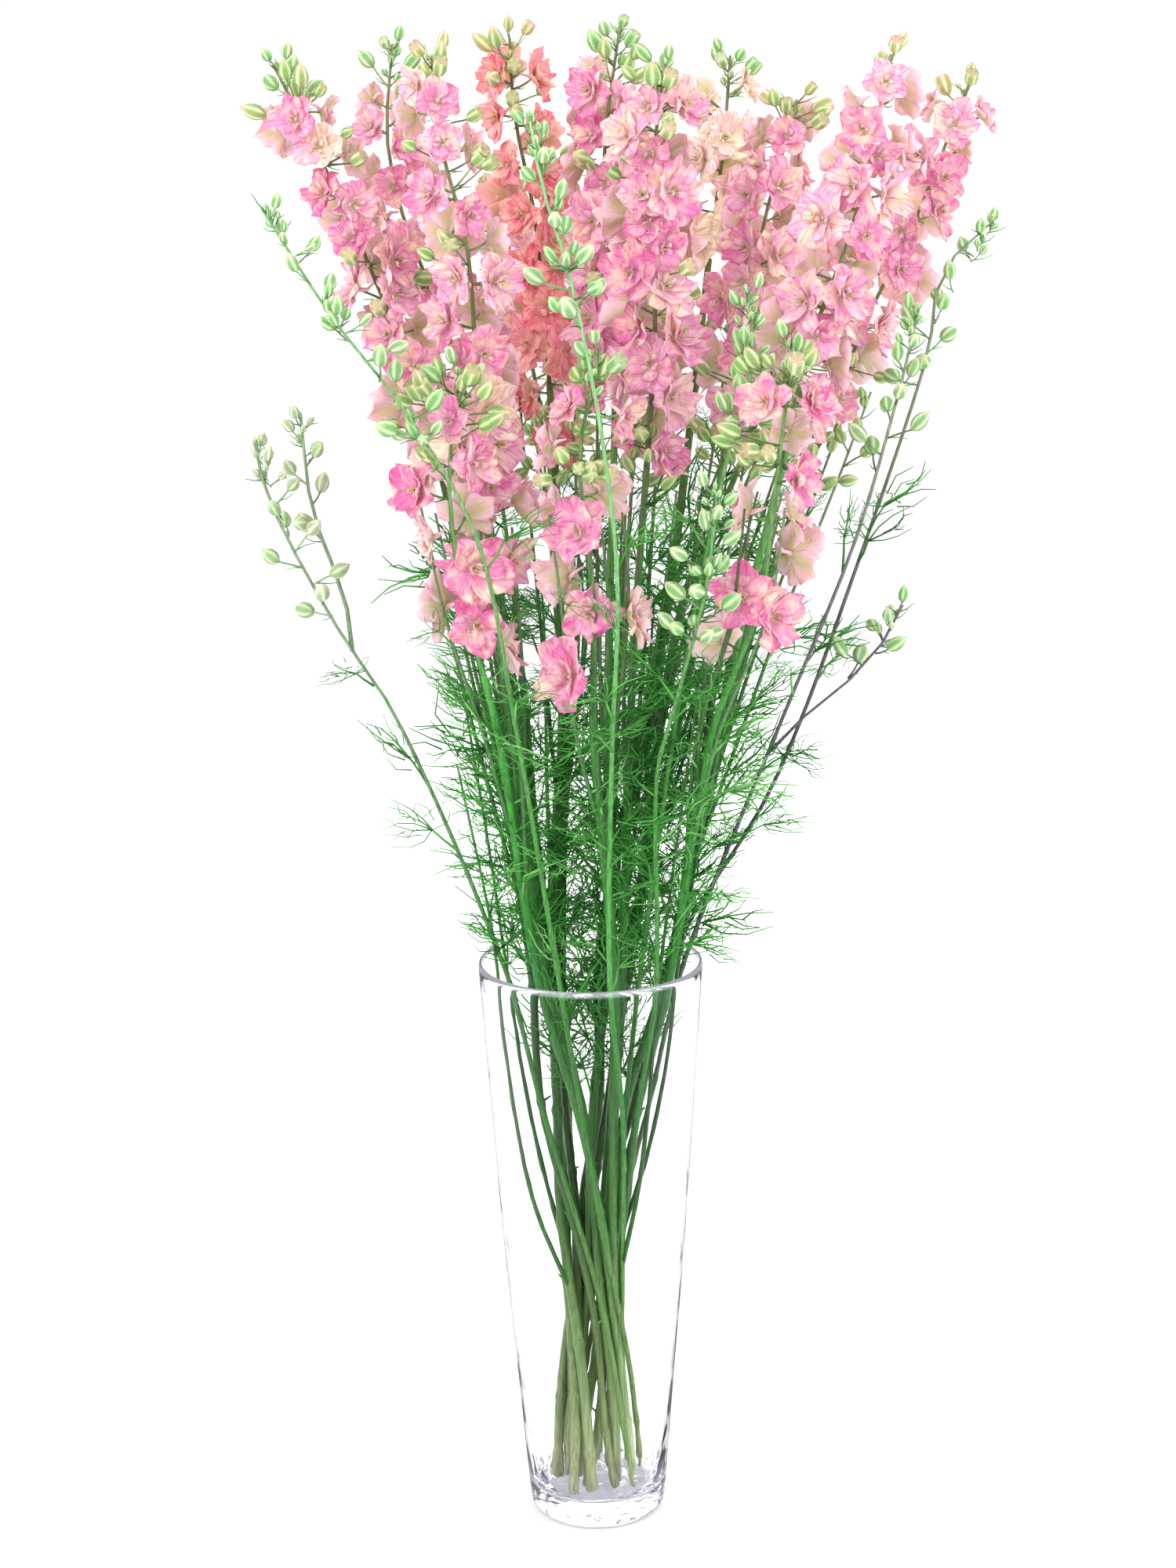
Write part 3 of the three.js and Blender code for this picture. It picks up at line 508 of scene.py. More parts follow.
for index, stem in enumerate(stems):
    stem.index = index
    draw = stream(71, index, 0)
    stem.girth = mix(0.8, 1.08, draw())
    # Stems further to the front get a higher tone, which their finish paints lighter: painted light,
    # with a part at random.
    stem.tone = clamp(0.5 - stem.path[0][1] / 260 + mix(-0.3, 0.3, draw()))
    stem.course = curve_through(knots[index] + stem.path)
    stem.top = stem.path[-1][2]


def stem_radius(stem, z):
    """A stem's radius at a height: even in the vase, and slimmer towards its top."""
    t = max(0, (z - RIM_HEIGHT) / (stem.top - RIM_HEIGHT))
    return mix(stem.radius, stem.radius * stem.slimmed, t)


def corners_of(node):
    """A look-up of the corners of a node's solid, in millimetres."""
    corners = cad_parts[node].data.vertices
    tree = kdtree.KDTree(len(corners))
    for k, corner in enumerate(corners):
        tree.insert(corner.co * 1000, k)
    tree.balance()
    return tree


def as_built(corners, plans, marked):
    """The first planned variant whose marked corner is on the solid, or None if none is."""
    for plan in plans:
        if corners.find(marked(plan))[2] < 0.05:
            return plan
    return None


# The finishes of one piece in order; finish_piece keeps those that its faces use.
STEM, LEAF, BUD, PETAL, PETAL_BACK, STAMEN = range(6)


def new_growth():
    """An empty mesh with the pattern map and the tone that the plant finishes read."""
    bm = bmesh.new()
    bm.loops.layers.uv.new("pattern")
    bm.verts.layers.float.new("tone")
    return bm


def set_faces(bm, verts, finish, tone):
    """Gives the faces on these points a finish, and the points a tone."""
    shade = bm.verts.layers.float["tone"]
    for vert in verts:
        vert[shade] = tone
        for face in vert.link_faces:
            face.material_index = finish


def grow_tube(bm, centres, radii, sides, finish, tone=0.5):
    """A round rod through the centres, its rings level, closed at both ends."""
    made = bmesh.ops.create_circle(bm, cap_ends=True, segments=sides, radius=radii[0],
                                   matrix=Matrix.Translation(centres[0]))
    ring = made["verts"]
    every = list(ring)
    edges = list(ring[0].link_faces[0].edges)
    for k in range(1, len(centres)):
        made = bmesh.ops.extrude_edge_only(bm, edges=edges)
        ring = [g for g in made["geom"] if isinstance(g, bmesh.types.BMVert)]
        edges = [g for g in made["geom"] if isinstance(g, bmesh.types.BMEdge)]
        bmesh.ops.translate(bm, verts=ring, vec=centres[k] - centres[k - 1])
        bmesh.ops.scale(bm, verts=ring, vec=(radii[k] / radii[k - 1],) * 3,
                        space=Matrix.Translation(-centres[k]))
        every += ring
    bmesh.ops.edgeloop_fill(bm, edges=edges)
    set_faces(bm, every, finish, tone)
    return every


def grow_twig(bm, length, thick, thin, bow, sides, cuts, finish):
    """A tapered twig up Z from the origin, bowed along X by a share of its length."""
    steps = [k / (cuts + 1) for k in range(cuts + 2)]
    centres = [Vector((bow * math.sin(math.pi * t), 0, t)) * length for t in steps]
    return grow_tube(bm, centres, [mix(thick, thin, t) for t in steps], sides, finish)


def aimed(root, run):
    """The move that takes a shape up Z to a root, along a run."""
    return Matrix.Translation(root) @ run.to_track_quat("Z", "Y").to_matrix().to_4x4()


def as_pattern(bm, name):
    """Closes a modelled shape as a ready mesh for lay."""
    bmesh.ops.recalc_face_normals(bm, faces=bm.faces)
    return as_mesh(bm, name)


def lay(bm, pattern, matrix, tone):
    """Adds a copy of a ready mesh, moved by the matrix, with a tone of its own."""
    copy = pattern.copy()
    copy.transform(matrix)
    copy.attributes["tone"].data.foreach_set("value", [tone] * len(copy.vertices))
    bm.from_mesh(copy)
    bpy.data.meshes.remove(copy)


def twig_pattern(taper, bow, sides, cuts, finish):
    """A twig a unit long on Z and a unit in radius at its foot, for lay_twig."""
    bm = new_growth()
    grow_twig(bm, 1, 1, taper, bow, sides, cuts, finish)
    return as_pattern(bm, "twig")


def lay_twig(bm, pattern, root, tip, thick, tone):
    """Adds a twig from root to tip, bowed to a side that its tone settles."""
    run = tip - root
    matrix = (aimed(root, run) @ Matrix.Rotation(tone * 20, 4, "Z")
              @ Matrix.Diagonal((thick, thick, run.length, 1)))
    lay(bm, pattern, matrix, tone)


def add_product(tree, first, second):
    """Two colours multiplied."""
    return add_mix(tree, 1.0, first, second, "MULTIPLY")


def own_tone(tree):
    """The tone of the leaf, floret, bud or stem that a face belongs to."""
    return add_node(tree, "Attribute", attribute_name="tone").outputs["Fac"]


def stem_finish(name, stops, roughness):
    """A ribbed green skin whose colour changes with height and from stem to stem; the tone lightens or
    darkens it, which is painted light where the tone follows how far to the front a stem stands.
    """
    finish, tree = new_finish(name, Roughness=roughness)
    place = object_place(tree)
    streaks = add_noise(tree, place, (900, 900, 22), 3.0)
    darker = add_mix(tree, add_map(tree, streaks, 0.35, 0.65), (0.62, 0.66, 0.6, 1),
                     (1.2, 1.2, 1.1, 1))
    base = add_product(tree, add_ramp(tree, parts_of(tree, place)["Z"], stops), darker)
    # Painted light: a high tone lightens the skin and a low one shades it.
    tone_and_painted_light = add_mix(tree, own_tone(tree), (0.58, 0.54, 0.42, 1), (1.2, 1.26, 1.28, 1))
    paint(tree, Base_Color=add_product(tree, base, tone_and_painted_light),
          Normal=add_bump(tree, streaks, 0.35, 0.0006))
    return finish


# Along the height: pale low in the vase, darkest just under the rim where the leaves begin, which is
# painted shade under the foliage over the stems' own green, then greyer towards the top.
green_stem = stem_finish("green_stem", [
    (0.0, "#e6ecd8"), (0.035, "#c3d1a4"), (0.09, "#8fb072"), (0.2, "#4f873d"), (0.35, "#286f24"),
    (0.5, "#46983f"), (0.62, "#66a35c"), (0.74, "#819b68"), (0.86, "#999a75"), (1.0, "#a5b587")], 0.36)

leaf_green, tree = new_finish("leaf_green", Roughness=0.5)
patches = add_noise(tree, object_place(tree), (60, 60, 60))
# A darker or lighter green by the tone, which holds painted light for leaves towards the front.
skin = add_ramp(tree, own_tone(tree), [(0.0, "#1f661c"), (0.4, "#358f2f"), (0.75, "#62b656"),
                                       (1.0, "#94d184")])
light = add_mix(tree, patches, (0.65, 0.7, 0.65, 1), (1.3, 1.25, 1.2, 1))
paint(tree, Base_Color=add_product(tree, skin, light), Normal=add_bump(tree, patches, 0.2, 0.001))

# One finger of a leaf, a unit long on Z: how far its thread bows, then the place, lean and
# length of each side thread.
FINGERS = [
    (0.1, [(0.3, 0.42, 0.5), (0.55, -0.4, 0.36)]),
    (0.22, [(0.24, -0.46, 0.5), (0.5, 0.4, 0.42)]),
    (-0.16, [(0.36, 0.38, 0.52), (0.62, -0.4, 0.28)]),
    (0.3, [(0.3, -0.36, 0.55)]),
]
THREAD = 0.0185
THREAD_TIP = THREAD * 0.4
fingers = []
for bow, forks in FINGERS:
    bm = new_growth()
    threads = [(Vector(), Vector((0, 0, 1)), THREAD, bow, 2)]
    for along, lean, length in forks:
        root = Vector((bow * math.sin(math.pi * along), 0, along))
        run = Vector((math.sin(lean), lean * 0.3, math.cos(lean))) * length
        threads.append((root, run, THREAD * 0.8, 0.16, 1))
    for root, run, thick, bend, cuts in threads:
        verts = grow_twig(bm, run.length, thick, THREAD_TIP, bend, 3, cuts, LEAF)
        bmesh.ops.transform(bm, verts=verts, matrix=aimed(root, run))
    fingers.append(as_pattern(bm, "leaf_finger"))

leaf_stalk = twig_pattern(0.7, 1.0, 4, 1, LEAF)
stub = twig_pattern(0.5, 0.8, 5, 1, STEM)


def leaf_plan(root, draw, turn, size, steeper=0.0):
    """Where a leaf's stalk ends and its fingers point."""
    azimuth = turn + (draw() - 0.5) * 1.6
    rise = mix(0.35, 1.1, draw()) + steeper
    out = direction(azimuth, rise)
    hub = root + out * mix(14, 24, draw())
    axis = (out + direction(azimuth, mix(-0.5, 0.6, draw()) + steeper) * 0.8).normalized()
    side, face = cross_axes(axis, mix(-0.7, 0.7, draw()))
    tips = []
    for k in range(LEAF_FINGERS):
        t = k / (LEAF_FINGERS - 1) - 0.5
        angle = t * 2.3 + (draw() - 0.5) * 0.16
        length = LEAF_LENGTH * size * mix(0.75, 1.05, draw()) * (1 - 0.55 * t * t)
        lift = (draw() - 0.5) * 0.5
        way = axis * math.cos(angle) + side * math.sin(angle) + face * lift
        tips.append(hub + way.normalized() * length)
    return SimpleNamespace(root=root, hub=hub, face=face, tips=tips)


def leaf_variants(stem, k, root, size):
    """The places that one leaf of the solid may have taken."""
    draw = stream(3, stem.index, k)
    outward = math.atan2(root.y, root.x)
    for attempt in range(TRIES):
        turn = outward + (draw() - 0.5) * 3.4
        yield leaf_plan(root, draw, turn, size * mix(1, 0.5, attempt / TRIES))


def grow_leaf(bm, plan, draw):
    """The stalk of a leaf and its forked fingers, lighter towards the front: painted light."""
    # The tone follows how far to the front the leaf stands, partly at random; the leaf finish paints a
    # high tone lighter.
    tone = mix(draw(), clamp(0.5 - plan.hub.y / 140), 0.45)
    lay_twig(bm, leaf_stalk, plan.root, plan.hub, 0.85, tone)
    for tip in plan.tips:
        run = tip - plan.hub
        z = run.normalized()
        y = (plan.face - z * plan.face.dot(z)).normalized()
        x = y.cross(z)
        if draw() < 0.5:
            x, y = -x, -y
        turned = Matrix((x, y, z)).transposed().to_4x4()
        matrix = Matrix.Translation(plan.hub) @ turned @ Matrix.Scale(run.length, 4)
        lay(bm, fingers[int(draw() * len(fingers))], matrix, mix(tone, draw(), 0.4))


def inside_glass(point):
    """True unless the point would touch the wall of the vase or pass through it."""
    (low, start), (high, end) = GLASS_LOW, GLASS_HIGH
    wall = mix(low, high, clamp((point.z - start) / (end - start)))
    return point.z > RIM_HEIGHT + 4 or math.hypot(point.x, point.y) < wall - LEAF_CLEARANCE


def grow_leaves(bm, stem, node, start, end, spacing, size):
    """The leaves of the solid, and finer ones between them where the foliage is thick."""
    corners = corners_of(node)
    course = straight_runs(stem.course, low_heights(stem.green_to))
    for k in range(int((end - start) / spacing)):
        root = course(start + (k + 0.5) * spacing)
        plan = as_built(corners, leaf_variants(stem, k, root, size), lambda p: p.tips[0])
        if plan:
            grow_leaf(bm, plan, stream(13, stem.index, k))
    lowest, step = start - EXTRA_BELOW, spacing * EXTRA_SPACING
    for k in range(int((min(end, EXTRA_TOP) - lowest) / step)):
        root = course(lowest + (k + 0.5) * step)
        draw = stream(17, stem.index, k)
        thinned = clamp((root.z - THINNER_ABOVE) / (THINNEST_ABOVE - THINNER_ABOVE))
        if draw() < mix(0, THINNED_SHARE, thinned):
            continue
        # Leaves stand steeper near the rim and again under the florets.
        steeper = max(0, mix(0.45, 0, (root.z - RIM_HEIGHT) / 150), mix(0, 0.5, (root.z - 520) / 100))
        plan = leaf_plan(root, draw, draw() * math.tau, size * mix(0.6, 1.2, draw()), steeper)
        if root.z < CLEAR_BELOW and plan.hub.y < 0 and draw() < CLEARED_SHARE:
            continue
        if all(inside_glass(tip) for tip in plan.tips):
            grow_leaf(bm, plan, stream(19, stem.index, k))


def joint_heights(stem, end):
    """Where the leaf joints of a stem are, low to high."""
    first = mix(*LOWEST_JOINT, stream(23, stem.index, 0)())
    return [z for z in (first + k * JOINT_SPACING for k in range(JOINTS_MOST)) if z < end - 12]


def grow_stem(bm, course, radius_at, start, end, joints, tone, sides=8):
    """A stem between two heights, stouter low down and thickened at its leaf joints."""
    heights = sorted({*heights_between(start, end, 22), *(z + s for z in joints for s in (-4, 0, 4))})
    radii = [radius_at(z) * mix(1.15, 1, min(1, z / RIM_HEIGHT)) * (1.25 if z in joints else 1)
             for z in heights]
    grow_tube(bm, [course(z) for z in heights], radii, sides, STEM, tone)


def stouter(z):
    """How much fuller the stems are above the rim than in the glass."""
    return mix(1, 1.2, clamp((z - 300) / 100))


def grow_joint_stubs(bm, stem, joints):
    """The short stubs that stripped leaves leave on the part in the vase."""
    for k, z in enumerate(j for j in joints if j < STRIPPED_BELOW):
        draw = stream(29, stem.index, k)
        root = stem.course(z)
        tip = root + direction(draw() * math.tau, 0.7) * mix(4, 8, draw())
        lay_twig(bm, stub, root, tip, 1.1, draw())


for stem in flowering:
    bm = new_growth()
    joints = joint_heights(stem, stem.green_to)
    grow_stem(bm, stem.course, lambda z: stem_radius(stem, z) * stem.girth * stouter(z),
              FLOOR_HEIGHT, stem.green_to, joints, stem.tone)
    grow_joint_stubs(bm, stem, joints)
    node = f"stem_{stem.id}"
    grow_leaves(bm, stem, node, LEAFY_FROM, min(LEAF_TOP, stem.green_to - 6), LEAF_SPACING, 1)
    finish_piece(bm, f"leafy_stem_{stem.id}", [green_stem, leaf_green], node, "green")

# ------------------------------------------------------------ the flower spikes
# The part of each stem where florets are open: ruffled double florets of thin pink petals
# with a cream heart, each on a short stalk with a thread-like bract under it.

GOLDEN_ANGLE = 2.39996
FLORET_RADIUS = 20
PETAL_THICKNESS = 0.28
# A weak glow of the petal's own colour: painted light that lifts the shade on the petals.
PAINTED_PETAL_GLOW = 0.14
PETAL_SCATTER = (1.0, 0.6, 0.6)
SCATTER_DEPTH = 0.0012
SPIKE_GIRTH = 0.8
JOINT_GAP = 0.3

# The noise that ruffles the petals would start anew in each run without a seed.
noise.seed_set(1)


def pattern_sheet(tree):
    """The pattern map of a petal or bud, and its share across and along by X and Y."""
    sheet = add_node(tree, "UVMap", uv_map="pattern").outputs["UV"]
    return sheet, parts_of(tree, sheet)


def add_math(tree, operation, first, second):
    return add_node(tree, "Math", {0: first, 1: second}, operation=operation).outputs["Value"]


def petal_finish(name, heart, pale, full, edge, fresh):
    """Thin petal skin: cream at the heart, deeper to the edge, veined, paler when just open, with a weak
    painted glow of its own colour that lightens its shade.
    """
    finish, tree = new_finish(
        name, Roughness=0.62, Subsurface_Weight=0.35, Subsurface_Scale=SCATTER_DEPTH,
        Subsurface_Radius=PETAL_SCATTER, Sheen_Weight=0.15, Emission_Strength=PAINTED_PETAL_GLOW)
    sheet, parts = pattern_sheet(tree)
    tone, place = own_tone(tree), object_place(tree)
    sideways = add_map(tree, add_math(tree, "PINGPONG", parts["X"], 0.5), 0.0, 0.5, 1.0, 0.78)
    margin = add_math(tree, "MULTIPLY", sideways, parts["Y"])
    light = add_ramp(tree, margin, [(0.0, heart), (0.2, pale), (0.7, pale), (1.0, full)])
    deep = add_ramp(tree, margin, [(0.0, heart), (0.14, full), (0.5, full), (1.0, edge)])
    base = add_mix(tree, tone, light, deep)
    young = add_map(tree, tone, 0.18, -0.05, 0.0, 0.55)
    blotches = add_map(tree, add_noise(tree, place, (55, 55, 55)), 0.52, 0.7, 0.0, 0.6)
    for share in (young, blotches):
        base = add_mix(tree, share, base, colour(fresh))
    veins = add_noise(tree, sheet, (13, 1.8, 1), 3.0)
    veined = add_mix(tree, add_map(tree, veins, 0.32, 0.66), (0.78, 0.48, 0.62, 1),
                     (1.06, 1.33, 1.25, 1))
    patches = add_map(tree, add_noise(tree, place, (150, 150, 150)), 0.46, 0.72, 0.0, 0.6)
    base = add_mix(tree, patches, add_product(tree, base, veined), colour(heart))
    # The base colour also feeds the emission: the painted glow.
    paint(tree, Base_Color=base, Emission_Color=base, Normal=add_bump(tree, veins, 0.3, 0.0006))
    return finish


def petal_back_finish(name, skin, patch):
    """The outside of a petal: paler, with an olive patch along its middle."""
    finish, tree = new_finish(name, Roughness=0.65, Subsurface_Weight=0.25,
                              Subsurface_Scale=SCATTER_DEPTH, Subsurface_Radius=PETAL_SCATTER)
    sheet, parts = pattern_sheet(tree)
    middle = add_ramp(tree, parts["X"], [(0.1, "#000000"), (0.42, "#ffffff"), (0.58, "#ffffff"),
                                         (0.9, "#000000")])
    reach = add_ramp(tree, parts["Y"], [(0.0, "#ffffff"), (0.5, "#e0e0e0"), (0.95, "#000000")])
    base = add_mix(tree, add_product(tree, middle, reach), colour(skin), colour(patch))
    veins = add_noise(tree, sheet, (20, 2.0, 1))
    veined = add_mix(tree, veins, (0.82, 0.74, 0.77, 1), (1.25, 1.25, 1.25, 1))
    paint(tree, Base_Color=add_product(tree, base, veined), Normal=add_bump(tree, veins, 0.3, 0.0006))
    return finish


# For each tint the heart, the pale, full and edge colours of a petal and its colour when it
# has just opened, then the skin and the olive patch of its back.
TINTS = {
    "rose": ("#f3e6c2", "#f1bcd3", "#e077aa", "#cd458a", "#f2d3ae", "#f5cad4", "#c8c187"),
    "coral": ("#f4d8b4", "#f3afb4", "#e67083", "#d4456d", "#f3c6a0", "#f4bcb8", "#c4b07a"),
    "blush": ("#f5eecc", "#faded9", "#f2bfc6", "#e28fb0", "#f4e4bc", "#f8dfd0", "#cfc88e"),
}
petal_faces = {tint: (petal_finish(f"{tint}_petal", *codes[:5]),
                      petal_back_finish(f"{tint}_petal_back", *codes[5:]))
               for tint, codes in TINTS.items()}

stamen_yellow, tree = new_finish("stamen_yellow", Roughness=0.6)
grain = add_noise(tree, object_place(tree), (900, 900, 900))
paint(tree, Base_Color=add_ramp(tree, grain, [(0.3, "#7d7a35"), (0.5, "#c3c178"), (0.7, "#eee6b4")]))

stalk_twig = twig_pattern(0.8, 0.9, 5, 2, STEM)
bract_thread = twig_pattern(0.4, 2.0, 3, 1, LEAF)
spur_twig = twig_pattern(0.25, -1.2, 5, 1, PETAL_BACK)
stamen_twig = twig_pattern(1.8, 1.0, 3, 0, STAMEN)


def floret_plan(root, draw, size, turn, reach=1.0):
    """Where a floret stands and faces, and how wide it is."""
    azimuth = turn + (draw() - 0.5) * 0.7
    rise = mix(0.05, 0.5, draw())
    stalk = mix(12, 20, draw()) * reach
    out = direction(azimuth, rise)
    base = root + out * stalk
    facing = direction(azimuth + (draw() - 0.5) * 0.8, mix(-0.35, 0.45, draw()))
    axis = (facing + out * 0.5).normalized()
    radius = size * mix(0.88, 1.12, draw())
    return SimpleNamespace(root=root, base=base, axis=axis, radius=radius, turn=draw() * 1.25,
                           ruffle=[draw() for _ in range(5)])


def floret_variants(stem, k, root, size, turn):
    """The places that one floret of the solid may have taken."""
    draw = stream(1, stem.index, k)
    for attempt in range(TRIES):
        swing = (draw() - 0.5) * 3 if attempt > 4 else 0
        yield floret_plan(root, draw, size * (0.8 if attempt > 9 else 1), turn + swing)


def heart_of(plan):
    return plan.base + plan.axis * (0.3 * plan.radius)


def grow_petal(bm, plan, angle, across, along, shape, tone):
    """One petal of a floret: a small grid shaped by its reach, half width and height."""
    u, v = cross_axes(plan.axis, plan.turn)
    outward = u * math.cos(angle) + v * math.sin(angle)
    sideways = outward.cross(plan.axis)
    made = bmesh.ops.create_grid(bm, x_segments=across, y_segments=along, size=1, calc_uvs=True)
    for vert in made["verts"]:
        s, t = vert.co.x, (vert.co.y + 1) / 2
        reach, half_width, height = shape(s, t)
        spot = (outward * reach + sideways * (s * half_width) + plan.axis * height) * plan.radius
        vert.co = plan.base + spot
        vert.co += noise.noise_vector(vert.co / 5) * (3.6 * t * plan.radius / 20)
    set_faces(bm, made["verts"], PETAL, tone)


def grow_floret(petals, bm, plan, draw, tone):
    """A double floret: five broad sepals, two inner rings of petals and a tuft of stamens."""
    for k in range(5):
        length = mix(0.86, 1.04, plan.ruffle[k])
        swing, wave, dip = (draw() - 0.5) * 0.35, draw() * math.tau, mix(-0.05, 0.42, draw())
        width, rise, taper = mix(0.34, 0.46, draw()), mix(0.36, 0.66, draw()), mix(0.64, 0.84, draw())

        def sepal(s, t):
            reach = 0.08 + length * t - 0.24 * s * s * t**3 + 0.09 * t * math.sin(6 * s + wave)
            half_width = 0.1 + width * math.sin(math.pi * (0.08 + taper * t**0.9))
            height = 0.04 + rise * t - dip * t**3 + 0.17 * t * math.sin(3.8 * s + wave)
            return reach, half_width, height + 0.12 * s * s * (1 - t)

        shade = tone + (draw() - 0.5) * 0.45
        grow_petal(petals, plan, k * math.tau / 5 + swing, 4, 3, sepal, shade)
    for k in range(5):
        wave, rise = draw() * math.tau, mix(0.36, 0.72, draw())
        length, curl = mix(0.5, 0.84, draw()), mix(-0.1, 0.25, draw())

        def inner(s, t):
            reach = 0.07 + length * t - 0.14 * s * s * t * t + 0.08 * t * math.sin(5 * s + wave)
            half_width = 0.08 + 0.28 * math.sin(math.pi * (0.1 + 0.66 * t))
            return reach, half_width, 0.1 + rise * t - curl * t**3 + 0.2 * t * math.sin(3.6 * s - wave)

        grow_petal(petals, plan, (k + 0.5) * math.tau / 5 + (draw() - 0.5) * 0.7, 3, 2, inner,
                   tone + (draw() - 0.5) * 0.6)
    for k in range(4):
        length = mix(0.1, 0.34, draw())

        def core(s, t):
            return 0.05 + length * t, 0.05 + 0.09 * t, 0.2 + 0.4 * t - 0.06 * s * s

        grow_petal(petals, plan, k * math.tau / 4 + draw(), 2, 1, core, tone - 0.25)
    u, v = cross_axes(plan.axis, plan.turn)
    heart = plan.base + plan.axis * (0.2 * plan.radius)
    for k in range(5):
        angle = draw() * math.tau
        lean = u * math.cos(angle) + v * math.sin(angle)
        tip = heart + (plan.axis * mix(0.2, 0.3, draw()) + lean * mix(0.04, 0.13, draw())) * plan.radius
        lay_twig(bm, stamen_twig, heart, tip, 0.3, 0.5)
    spur = (-plan.axis * 0.75 + Vector((0, 0, 0.55))) * plan.radius * 0.62
    lay_twig(bm, spur_twig, plan.base + plan.axis * 1.5, plan.base + spur, 1.9, tone)


def grow_stalk(bm, root, base, thick, draw):
    """A floret's or bud's stalk, with a thread-like bract at its foot."""
    lay_twig(bm, stalk_twig, root, base, thick, draw())
    out = (base - root).normalized()
    drop = (out + Vector((draw() - 0.5, draw() - 0.5, -0.5)) * 0.8).normalized()
    foot = root + out * 2
    lay_twig(bm, bract_thread, foot, foot + drop * mix(7, 13, draw()), 0.5, draw())


crumples = bpy.data.textures.new("crumples", "CLOUDS")
crumples.noise_scale = 3.0


def thin_sheets(petals, finishes):
    """Smooths the petals and gives them their thickness, with the back finish behind."""
    sheets = add_object("petals", as_mesh(petals, "petals"))
    for finish in finishes:
        sheets.data.materials.append(finish)
    add_modifier(sheets, "SUBSURF", levels=1, render_levels=1)
    add_modifier(sheets, "DISPLACE", texture=crumples, texture_coords="LOCAL", mid_level=0.5,
                 strength=3.0)
    add_modifier(sheets, "SOLIDIFY", thickness=PETAL_THICKNESS, material_offset=1)
    shown = sheets.evaluated_get(bpy.context.evaluated_depsgraph_get())
    finished = bpy.data.meshes.new_from_object(shown)
    bpy.data.objects.remove(sheets)
    return finished


hearts = []
for stem in flowering:
    low, high = stem.open
    course = straight_runs(stem.course, heights_between(low + JOINT_GAP, high, 52))
    corners = corners_of(f"flowers_{stem.id}")
    stem.grown = []
    for k in range(stem.florets):
        t = (k + 0.4) / stem.florets
        root = course(mix(low, high, t**0.85))
        size = FLORET_RADIUS * mix(1.04, 0.74, t**1.5)
        turn = stem.index * 1.9 + k * GOLDEN_ANGLE
        plan = as_built(corners, floret_variants(stem, k, root, size, turn), heart_of)
        if plan:
            stem.grown.append(plan)
            hearts.append((heart_of(plan), plan.radius))

# The florets between those of the solids, and below them on the stems that open high up.
FILL_SHARE = 1.4
LOW_FILL_SHARE = 0.5
LOW_SPIKE_TOP = 760
OPEN_HIGH = (710, 760)
FILL_TRIES = 30
FILL_BELOW = 35
FILL_OVERLAP = 12
FRONT = -math.pi / 2


def room_at(spot, reach, share):
    """How far a spot is from the nearest floret, less a share of the sizes of both."""
    return min((spot - heart).length - share * (reach + radius) for heart, radius in hearts)


def floret_room(plan):
    return room_at(heart_of(plan), plan.radius, 0.62)


for stem in flowering:
    low, high = stem.open
    lowest = low - FILL_BELOW if OPEN_HIGH[0] < low < OPEN_HIGH[1] else low
    share = LOW_FILL_SHARE if high < LOW_SPIKE_TOP else FILL_SHARE
    count = int(stem.florets * share * (high - lowest) / (high - low))
    for k in range(count):
        draw = stream(31, stem.index, k)
        t = (k + 0.7) / count
        size = FLORET_RADIUS * mix(0.98, 0.66, t**1.3)
        plans = []
        for _ in range(FILL_TRIES):
            root = stem.course(mix(lowest, high, clamp(t + (draw() - 0.5) * 0.12)))
            turn = draw() * math.tau if k % 2 else FRONT + (draw() - 0.5) * 1.5
            plans.append(floret_plan(root, draw, size, turn, 0.7))
        plan = max(plans, key=floret_room)
        if floret_room(plan) > -FILL_OVERLAP:
            stem.grown.append(plan)
            hearts.append((heart_of(plan), plan.radius))

# Spikes whose petals are mostly of the fuller colour, and their palest tone.
DEEPER = {"01": 0.3, "04": 0.3, "05": 0.3, "06": 0.3, "11": 0.62, "12": 0.62, "13": 0.62}
JUST_OPEN = 0.07

for stem in flowering:
    bm = new_growth()
    petals = new_growth()
    grow_stem(bm, stem.course, lambda z: stem_radius(stem, z) * SPIKE_GIRTH, *stem.open, [],
              stem.tone, 7)
    for k, plan in enumerate(stem.grown):
        draw = stream(37, stem.index, k)
        grow_stalk(bm, plan.root, plan.base, 0.85, draw)
        tone = mix(DEEPER[stem.id], 1.0, draw()) if stem.id in DEEPER else mix(0.1, 0.75, draw())
        if draw() < JUST_OPEN:
            tone = 0.0
        grow_floret(petals, bm, plan, draw, tone)
    finishes = [green_stem, leaf_green, None, *petal_faces[stem.tint], stamen_yellow]
    sheets = thin_sheets(petals, finishes)
    bm.from_mesh(sheets)
    bpy.data.meshes.remove(sheets)
    finish_piece(bm, f"flower_spike_{stem.id}", finishes, f"flowers_{stem.id}", stem.tint)

# ------------------------------------------------- the tips of the flower spikes
# Above the open florets each stem ends in closed and half-open buds: five pale-edged green
# sepals folded to a point, on thin stalks, smaller towards the tip.

BUD_LENGTH = 15
BUD_RADIUS = 4.6


